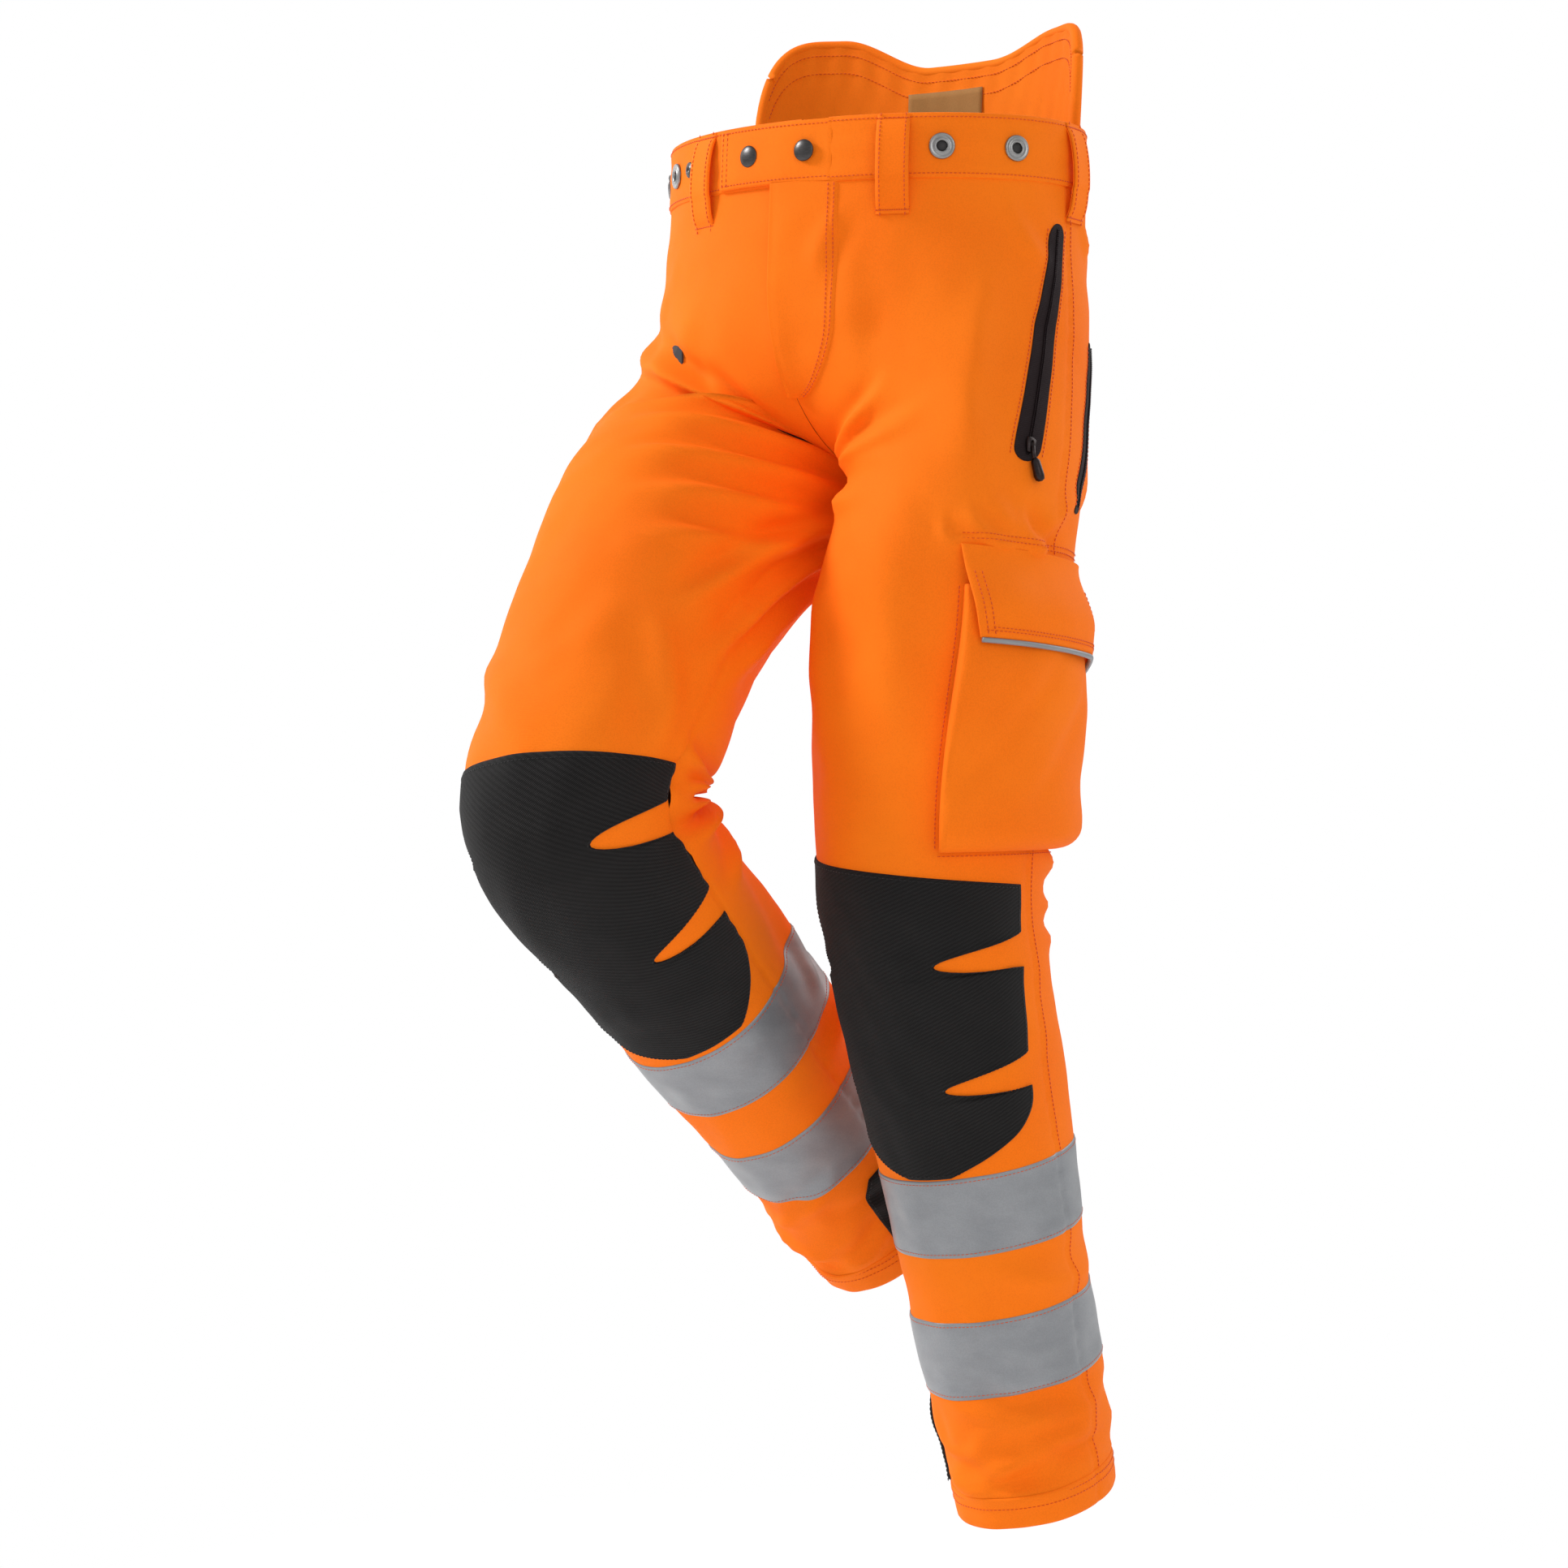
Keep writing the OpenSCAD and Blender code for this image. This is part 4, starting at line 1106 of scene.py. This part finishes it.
def waist_object(name, points, turns, down, material_name, flip=True):
    """An object from a grid of points round the waist."""
    faces = grid_faces(*points.shape[:2], flip=flip)
    return add_mesh(name, points.reshape(-1, 3), faces, MATERIALS[material_name],
                    metres(turns * WAIST_GIRTH, down))


def oval_strip(name, turns, rows, material_name):
    """A strip round the waist; rows are (run, depth) from the top edge down."""
    runs = np.array([r for r, _ in rows])[:, None]
    depths = np.array([d for _, d in rows])[:, None]
    points = waist_point(turns[None, :], runs, depths)
    return waist_object(name, points, turns, runs, material_name)


def build_waistband(pile):
    body = [(1.5, -1.6), (0.2, -0.9), (0, 0.2), (0.6, 1.1), (3, 1.5)]
    body += [(r, 1.5 + 0.25 * math.sin(r / 3)) for r in range(6, 46, 3)]
    body += [(47, 1.5), (49.4, 1.2), (50, 0.3), (49.8, -1.4), (40, -2.2), (10, -2.2), (1.5, -1.6)]
    turns = np.concatenate([np.linspace(14.5, 345, 240), np.linspace(346, 367, 20)])
    band = oval_strip("waistband_cloth", turns, body, "shell_cloth")
    attach(band, "waist", "waistband")
    for sewn, depth in ((np.linspace(15, 341, 420), 1.85), (np.linspace(-19, -1, 26), 1.6)):
        for run in (3.5, 46.5):
            sew(pile, waist_point(sewn, run, depth))


TAB_SPAN = (-18.5, 13.4)


def build_tab():
    rows = [(1.6, 2.4), (1, 3.2), (1.2, 4.2), (3, 4.9), (12, 5.2), (25, 5.3), (38, 5.2), (47, 4.9),
            (48.8, 4.2), (49, 3.2), (48.4, 2.4)]
    turns = np.concatenate([np.linspace(TAB_SPAN[0], TAB_SPAN[1], 60), [14.2, 15.0, 15.6]])
    tab = oval_strip("tab_cloth", turns, rows, "shell_cloth")
    runs, depths = np.array(rows).T[:, :, None]
    settle = ease((turns - 1) / 13)
    depths = (1 - settle) * depths + settle * (1.9 + 0.12 * (depths - 4.2))
    depths = np.where(turns == TAB_SPAN[0], 2.6, depths)
    depths = np.where(turns == turns[-1], 1.5, depths)
    tab.data.vertices.foreach_set("co", (waist_point(turns, runs, depths) * MM).ravel().astype(np.float32))
    attach(tab, "waist_tab", "waist_tab")
    pile = Pile()
    for run in (4.5, 45.5):
        sewn = np.linspace(TAB_SPAN[0] + 1.2, 14, 60)
        sew(pile, waist_point(sewn, run, 5.25 - 3.2 * ease((sewn - 1) / 13)))
    for turn in (TAB_SPAN[0] + 1.2, TAB_SPAN[0] + 2.8):
        sew(pile, waist_point(turn, np.linspace(5, 45, 30), 5.3))
    close_pile(pile, "tab_stitches", "thread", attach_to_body, "waist_tab")


STUD_PROFILE = [(0, 3.0), (2.4, 2.95), (4.6, 2.6), (6.6, 1.9), (7.8, 1.3), (8.4, 0.8), (8.3, 0)]
RING_PROFILE = [(4.0, 0), (4.0, 1.3), (4.4, 2.0), (5.2, 2.3), (6.0, 2.0), (6.6, 1.5), (7.6, 1.5),
                (8.6, 1.9), (9.5, 1.8), (10.0, 1.0), (10.0, 0)]
SOCKET_PROFILE = [(0, 1.0), (2.2, 1.0), (2.4, 1.9), (3.4, 1.9), (3.8, 1.2), (5.6, 1.3), (6.2, 0.9),
                  (6.2, 0)]
STUD_TURNS = (-8, 8.6)
SPARE_STUD_TURN = -35
RING_TURNS = (45, 67.5, 150)


def turned_pieces(name, profile, places, material_name, node, body):
    """Small turned fittings on the waistband; places are (turn, run, depth)."""
    pile = Pile()
    points, faces = revolve(profile)
    for turn, run, depth in places:
        pile.add(placed(points, waist_point(turn, run, depth), waist_normal(turn)), faces)
    obj = pile.build(name, MATERIALS[material_name])
    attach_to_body(obj, body)
    if node:
        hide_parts(node)
    return obj


def build_fittings():
    turned_pieces("stud_caps", STUD_PROFILE, [(t, 25, 5.1) for t in STUD_TURNS], "stud_metal",
                  "tab_studs", "waist_tab")
    turned_pieces("stud_bases", SOCKET_PROFILE, [(STUD_TURNS[0], 25, 0.4), (SPARE_STUD_TURN, 25, 1.5)],
                  "stud_metal", "stud_sockets", "waist")
    rings = [(s * t, 26, 1.9) for t in RING_TURNS for s in (-1, 1)]
    turned_pieces("eyelet_rings", RING_PROFILE, rings, "ring_metal", "brace_rings", "waist")
    # Each eyelet's hole is filled with a dark disc: painted shade standing for the shadow inside the ring.
    hole = [(0, 0.25), (3.9, 0.25), (4.0, 0.1)]
    turned_pieces("eyelet_hole_shade_discs", hole, rings, "painted_hole_shade", None, "waist")


LOOP_TURNS = (32, 95, 140, -26, -95, -140, -180)
LOOP_HALF = 13.0
LOOP_HIGH = 1.0
LOOP_LOW = 77.0
LOOP_STAND = 8.8


def loop_shape(turn):
    """A strip bar-tacked at both ends, standing off in the middle. Rows run down the loop."""
    share = np.linspace(0, 1, 26)
    run = LOOP_HIGH + (LOOP_LOW - LOOP_HIGH) * share
    arch = np.clip(np.sin(math.pi * np.clip((share - 0.06) / 0.88, 0, 1)), 0, 1) ** 0.45
    stand = 1.9 + (LOOP_STAND - 1.9) * arch
    stand = np.where(run > BAND_BOTTOM, stand - 0.8, stand)
    across = np.array([-1, -0.97, -0.75, -0.4, 0, 0.4, 0.75, 0.97, 1]) * LOOP_HALF
    edge = np.array([-1.4, -0.2, 0.1, 0, 0, 0, 0.1, -0.2, -1.4])
    normal = waist_normal(turn)
    tangent = np.cross([0, 0, 1], normal)
    middle = waist_point(np.full(26, turn), run, stand)
    return middle[:, None] + tangent * across[None, :, None] + normal * edge[None, :, None], normal


def build_loops(pile):
    loops = Pile()
    for turn in LOOP_TURNS:
        points, normal = loop_shape(turn)
        rows, cols = points.shape[:2]
        under = points - normal * 1.2
        both = np.concatenate([points.reshape(-1, 3), under.reshape(-1, 3)])
        n = rows * cols
        top = grid_faces(rows, cols, flip=True)
        faces = [tuple(f) for f in top] + [tuple(n + i for i in f[::-1]) for f in top]
        for j in (0, cols - 1):
            faces += [(i * cols + j, (i + 1) * cols + j, n + (i + 1) * cols + j, n + i * cols + j)
                      for i in range(rows - 1)]
        loops.add(both, faces)
        for j in (2, cols - 3):
            sew(pile, points[:, j] + normal * 0.25)
        for row in (1, rows - 2):
            tack = points[row, 1:-1] + normal * 0.35
            for rise in (0, 2.0 if row > 2 else -2.0):
                sew(pile, tack + np.array([0, 0, rise]), pitch=1.6, length=1.5, radius=0.5)
    obj = loops.build("belt_loop_straps", MATERIALS["shell_cloth"])
    attach(obj, "waist", "belt_loops")


# ---- kidney guard ----

GUARD_TURNS = np.linspace(115.5, 244.5, 150)
GUARD_LEAN = 5


def guard_rise(turn):
    """Two lobes with a dip between them; the one on the wearer's right stands a little higher."""
    away = np.abs(turn - 180)
    lobe = np.where(turn > 180, 27, 14) * ease((away - 10) / 26)
    return (76 + lobe) * np.sqrt(np.clip(1 - np.clip((away - 40) / 25, 0, 1) ** 3, 0, 1)) + 2


def guard_point(turn, share, depth, trim=0.0):
    low = -44.0
    height = low + (guard_rise(turn) - trim - low) * share
    return waist_point(turn, -height, depth + GUARD_LEAN * np.maximum(height, 0) / 100)


def build_guard(pile):
    share = np.linspace(1, 0, 40)[:, None]
    turns = GUARD_TURNS[None, :]
    quilt = 0.5 * np.sin(turns * 0.8) * np.sin(share * 9)
    for name, depth, node in (("guard_cover_back", -4.2, "kidney_guard"),
                              ("guard_cover_front", -12.0, "guard_foam")):
        points = guard_point(turns, share, depth + quilt, 1.0)
        obj = waist_object(name, points, turns, share * 140, "shell_cloth", flip=depth > -10)
        attach(obj, "waist", node)
    edge = guard_point(GUARD_TURNS, 1.0, -8.0, 0.5)
    ends = [guard_point(turn, np.linspace(0.25, 0.9, 8), -8.0, 0.5) for turn in GUARD_TURNS[[0, -1]]]
    points, faces = tube_shape(resample(np.concatenate([ends[0], edge, ends[1][::-1]]), 3.0), 4.6, 14)
    binding = add_mesh("guard_binding_tape", points, faces, MATERIALS["shell_cloth"])
    attach(binding, "waist", "guard_binding")
    inner = np.linspace(GUARD_TURNS[4], GUARD_TURNS[-5], 260)
    for depth in (-12.4, -3.8):
        for trim in (9.0, 24.0):
            path = guard_point(inner, 1.0, depth, trim)
            sew(pile, path[guard_rise(inner) > trim + 4])


def build_label():
    turns = np.linspace(172, 196, 20)
    share = np.linspace(0, 1, 12)[:, None]
    runs = -60 + 56 * share
    depths = -13.0 - GUARD_LEAN * runs / 100 + 0.2 * np.sin(turns)[None, :]
    label = waist_object("plain_label", waist_point(turns, runs, depths), turns, runs, "label_cloth")
    thicken(label, 0.8)
    attach(label, "waist", "care_label")


# ---- zips ----

POCKET_ZIP = ((80, 85.0), (160, 81.0), (270, 80.0))
VENT_ZIP = ((166, 108.5), (230, 104.5), (300, 101.0))
ZIP_HALF = {"pocket": 11.5, "vent": 10.0}
COIL_PITCH = 1.6
SLIDER_TURN = 80.2


def zip_middle(ends, runs):
    return np.interp(runs, [e[0] for e in ends], [e[1] for e in ends])


def build_zip(side_name, kind, ends, pile):
    side = SIDES[side_name]
    first, last = ends[0][0], ends[-1][0]
    half = ZIP_HALF[kind]

    def edges(run):
        close = np.minimum(run - first, last - run)
        rounding = np.sqrt(np.clip(1 - (1 - np.clip(close / half, 0, 1)) ** 2, 0.02, 1))
        width = half * rounding / girth(run)
        middle = zip_middle(ends, run)
        return middle - width, middle + width

    tape = laid_panel(f"{kind}_tape_{side_name}", side, (first, last), edges, 18, 0.7,
                      MATERIALS["zip_tape"], row_step=2.5)
    coil = Pile()
    runs = np.arange(first + 5, last - 5, COIL_PITCH)
    for way in (-1, 1):
        shift = way * 0.95 / girth(runs)
        path = on_cloth_at(side, runs, zip_middle(ends, runs) + shift, 1.5)
        sew(coil, path, pitch=COIL_PITCH, length=1.25, radius=0.75)
    coil = coil.build(f"{kind}_coil_{side_name}", MATERIALS["zip_coil"])
    border = spaced(first + 6, last - 6, 3)
    for way in (-1, 1):
        shift = way * (half + 2.4) / girth(border)
        sew(pile, on_cloth_at(side, border, zip_middle(ends, border) + shift, 0.5))
    for obj in (tape, coil):
        follow_hip(obj, side_name)
    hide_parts("pocket_zip_" + side_name if kind == "pocket" else "vent_zips")


def slider_shape(length, width, height):
    """A zip slider: a waisted shoe with a bridge, and a cord puller with a moulded end."""
    pile = Pile()
    outline = [(-0.5, 0.5), (-0.5, 0.1), (-0.34, -0.5), (0.34, -0.5),
               (0.5, 0.1), (0.5, 0.5), (0.2, 0.62), (-0.2, 0.62)]
    levels = [(0.86, 0.0), (1.0, 0.25), (1.0, 0.7), (0.8, 1.0)]
    points = [(x * width * s, y * length * s, z * height) for s, z in levels for x, y in outline]
    n = len(outline)
    faces = [(i * n + k, i * n + (k + 1) % n, (i + 1) * n + (k + 1) % n, (i + 1) * n + k)
             for i in range(len(levels) - 1) for k in range(n)]
    faces += [tuple(range(n - 1, -1, -1)), tuple(range(3 * n, 4 * n))]
    pile.add(points, faces)
    bridge = [(0, 0.32 * length, height), (0, 0.2 * length, height + 1.6), (0, -0.1 * length, height + 1.8),
              (0, -0.3 * length, height)]
    pile.add(*tube_shape(bridge, 0.8, 8))
    low = height + 0.6
    cord = [(0, -0.1 * length, height + 1.2), (1.5, -0.6 * length, height + 0.9), (4, -1.0 * length, low)]
    pile.add(*tube_shape(cord, 1.6, 8))
    tip = [(x, -y * length, low) for x, y in ((3.5, 0.85), (4.6, 1.05), (10, 1.95), (11.5, 2.2), (12, 2.3))]
    pile.add(*tube_shape(tip, np.array([1.6, 3.6, 4.2, 3.6, 1.6]), 12))
    return np.concatenate(pile.points), pile.faces


def build_pocket_slider(side_name):
    side = SIDES[side_name]
    node = "pocket_slider_" + side_name
    joint = next(j for j in frame["joints"] if j["name"] == side_name + "_pocket_slider")
    up = unit(np.array(joint["axis"], float))
    out = unit(on_cloth_at(side, 262, SLIDER_TURN, 10) - on_cloth_at(side, 262, SLIDER_TURN, 0))
    out = unit(out - up * (out @ up))
    foot = on_cloth_at(side, 258, SLIDER_TURN, 1.6)
    points, faces = slider_shape(11, 8.5, 3.0)
    obj = add_mesh("zip_slider_" + side_name, placed(points, foot, out, up), faces, MATERIALS["zip_metal"])
    attach(obj, side_name + "_pocket_slider", node)


# ---- cargo pocket ----

CARGO_RUNS = (356, 563)
CARGO_TURNS = (64, 108)
CARGO_DEPTH = 18
FLAP_TURNS = (67, 109)
FLAP_SLANT = 3.0
FLAP_TOP = 338
FLAP_DROP = 70
FLAP_FACE = 20.5


def cargo_bulge(run):
    return 7 + (CARGO_DEPTH - 7) * ease((run - CARGO_RUNS[0]) / 90)


def cargo_front(run):
    """Turn of the pocket's front edge, which slants forward on its way down."""
    return 68 - 5.0 * ease((run - CARGO_RUNS[0]) / 190)


def build_cargo(pile):
    runs = np.concatenate([spaced(CARGO_RUNS[0] + 12, CARGO_RUNS[1] - 18, 5),
                           CARGO_RUNS[1] - 16 + 16 * np.sin(np.linspace(0.1, 1, 8) * math.pi / 2)])
    low = CARGO_RUNS[1] - 18
    drop = np.sqrt(np.clip(1 - np.clip((runs - low) / 18, 0, 1) ** 2, 0, 1))
    share = np.linspace(0, 1, 40)
    wall = np.clip(np.minimum(share, 1 - share) / 0.09, 0, 1)
    front = np.clip((share - 0.09) / 0.82, 0, 1)
    edge = cargo_front(runs)[:, None]
    turns = edge + (CARGO_TURNS[1] - edge) * front[None, :]
    bellows = 1 - 0.22 * np.sin(wall * math.pi)
    sag = 1 + 0.10 * np.sin((runs - CARGO_RUNS[0]) / 200 * math.pi)
    pull = 1.3 * value_noise(runs[:, None] / 24, share[None, :] * 6, 5) * wall[None, :]
    bulge = (cargo_bulge(runs) * sag)[:, None] * (wall ** 0.6 * bellows)[None, :]
    depth = (1 + bulge) * drop[:, None] ** 0.8
    crease = np.zeros((len(runs), 40))
    for start, slope, height in ((0.62, -260, 2.6), (0.9, -300, 2.2), (0.38, -420, 1.4)):
        line = share[None, :] - start - (runs[:, None] - 400) / slope
        crease = crease + height * np.exp(-((line / 0.05) ** 2)) * window(runs[:, None], 400, 545, 40)
    flare = 7 * ease((share[None, :] - 0.55) / 0.35) * ease((runs[:, None] - 500) / 50)
    depth = depth + (flare * wall[None, :] ** 0.5 + pull - crease * wall[None, :]) * drop[:, None] ** 0.5
    depth = np.maximum(depth, 0.4)
    points = skin(1, runs, turns, depth)
    pocket = grid_object("cargo_pocket_cloth", 1, points, runs, turns, MATERIALS["shell_cloth"])
    thicken(pocket, 1.4)
    attach(pocket, "left_thigh", "cargo_pocket")
    rows = spaced(CARGO_RUNS[0] + 14, CARGO_RUNS[1] - 4, 3)
    sew(pile, on_cloth_at(1, rows, cargo_front(rows) - 1.0, 0.6))
    sew(pile, on_cloth_at(1, rows, CARGO_TURNS[1] + 1.0, 0.6))
    base = np.linspace(cargo_front(CARGO_RUNS[1]), CARGO_TURNS[1], 60)
    sew(pile, on_cloth_at(1, CARGO_RUNS[1] + 2.5, base, 0.6))


def flap_lift(run):
    return 3.5 + (FLAP_FACE - 3.5) * ease((run - FLAP_TOP) / (FLAP_DROP * 0.7))


def flap_place(down, part):
    """A place on the flap from its sewn edge (down 0) to its free edge, and from front to rear."""
    front = FLAP_TURNS[0] + FLAP_SLANT * down
    rear = ease((part - 0.8) / 0.2)
    run = FLAP_TOP + FLAP_DROP * down + 9 * rear * down ** 3
    depth = flap_lift(FLAP_TOP + FLAP_DROP * down) - 5 * rear * down
    return run, front + (FLAP_TURNS[1] - front) * part, depth


def flap_puff(run, part):
    return 1.5 * value_noise(run / 26, part * 5, 12)


def build_flap():
    down = np.concatenate([[0, 0.01, 0.03], np.linspace(0.06, 0.95, 18), [0.975, 0.99, 1]])[:, None]
    part = np.concatenate([[0, 0.008, 0.025], np.linspace(0.05, 0.95, 46), [0.975, 0.992, 1]])[None, :]
    edge = np.minimum(np.minimum(part, 1 - part) / 0.025, (1 - down) / 0.03)
    rim = 1.3 * (1 - np.clip(edge, 0, 1)) ** 2
    run, turn, depth = np.broadcast_arrays(*flap_place(down, part))
    puff = flap_puff(run, part) * ease(down / 0.3)
    points = skin_at(1, run, turn, depth + puff + 1.6 - rim)
    flap = grid_object("cargo_flap_cloth", 1, points, run, turn, MATERIALS["shell_cloth"])
    thicken(flap, 2.4)
    attach(flap, "cargo_flap", "cargo_flap")
    ends = np.linspace(0.01, 0.99, 60)
    run, turn, depth = flap_place(1.0, ends)
    lift = depth + flap_puff(run, ends) + 0.2
    points, faces = tube_shape(skin_at(1, run + 1.6, turn, lift), 2.1, 12)
    piping = add_mesh("reflective_piping", points, faces, MATERIALS["reflective_tape"])
    attach(piping, "cargo_flap", "flap_piping")
    pile = Pile()

    def sewn(down, part):
        run, turn, depth = np.broadcast_arrays(*flap_place(down, part))
        sew(pile, skin_at(1, run, turn, depth + flap_puff(run, part) + 1.9))

    for inset in (0.04, 0.075):
        for part in (inset, 1 - inset):
            sewn(np.linspace(0.3, 0.94, 30), part)
        sewn(0.96 - inset, np.linspace(inset, 1 - inset, 60))
    close_pile(pile, "flap_stitches", "thread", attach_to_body, "cargo_flap")
    top = FLAP_TURNS[0] + (FLAP_TURNS[1] - FLAP_TURNS[0]) * np.linspace(0.02, 0.98, 60)
    seam = Pile()
    for rise in (5.0, 9.0):
        sew(seam, on_cloth_at(1, FLAP_TOP - rise, top, 0.5))
    close_pile(seam, "flap_seam_stitches", "thread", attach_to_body, "left_thigh")


# ---- rear pocket and inner pieces ----


def build_seat_pocket(pile):
    runs = (96, 236)

    def edges(run):
        return 112 + 0.02 * (run - 96), 158 - 0.02 * (run - 96) - 5 * np.clip((run - 216) / 20, 0, 1)

    pocket = laid_panel("seat_pocket_cloth", -1, runs, edges, 40, 1.6, MATERIALS["shell_cloth"])
    attach(pocket, "waist", "seat_pocket")
    rows = spaced(runs[0] + 3, runs[1] - 3, 3)
    low, high = edges(rows)
    for turns in (low + 1.2, high - 1.2):
        sew(pile, on_cloth_at(-1, rows, turns, 2.1))
    for run in (runs[0] + 4, runs[0] + 18, runs[1] - 4):
        low, high = edges(np.array([float(run)]))
        turns = np.linspace(low[0] + 1.2, high[0] - 1.2, 50)
        sew(pile, on_cloth_at(-1, run, turns, 2.1))


def finish_cad_nodes():
    """Inner pieces whose CAD shape is right keep it and get their material."""
    for name, slot_name in (("waist_elastic", "elastic"), ("fly_slider", "stud_metal"),
                            ("fly_zip", "zip_tape"), ("pocket_bags", "lining_cloth")):
        node = frame["nodes"][name]
        node.data.materials.clear()
        node.data.materials.append(MATERIALS[slot_name])


add_camera()
add_studio()

waist_stitches = Pile()
build_waistband(waist_stitches)
build_tab()
build_fittings()
build_loops(waist_stitches)
build_guard(waist_stitches)
build_label()
close_pile(waist_stitches, "waist_stitches", "thread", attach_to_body, "waist")

for side_name in SIDES:
    upper_stitches, lower_stitches, black_stitches, shin_stitches = Pile(), Pile(), Pile(), Pile()
    build_shells(side_name)
    build_linings(side_name)
    build_pads(side_name)
    build_patch(side_name, black_stitches)
    build_bands(side_name, shin_stitches)
    build_ankle_guard(side_name, black_stitches)
    build_hem(side_name, shin_stitches)
    sew_leg_seams(side_name, upper_stitches, lower_stitches)
    build_zip(side_name, "pocket", POCKET_ZIP, upper_stitches)
    build_zip(side_name, "vent", VENT_ZIP, upper_stitches)
    build_pocket_slider(side_name)
    if side_name == "left":
        build_fly(upper_stitches)
        build_cargo(lower_stitches)
        build_flap()
    else:
        build_seat_pocket(upper_stitches)
    for pile, name, material_name, slot_name, follow, body in (
        (upper_stitches, "upper_stitches_", "thread", "shell_cloth", follow_hip, side_name),
        (lower_stitches, "lower_stitches_", "thread", "shell_cloth", follow_knee, side_name),
        (black_stitches, "black_stitches_", "black_thread", "black_twill", follow_knee, side_name),
        (shin_stitches, "shin_stitches_", "thread", "shell_cloth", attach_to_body, side_name + "_shin"),
    ):
        close_pile(pile, name + side_name, material_name, follow, body)

finish_cad_nodes()
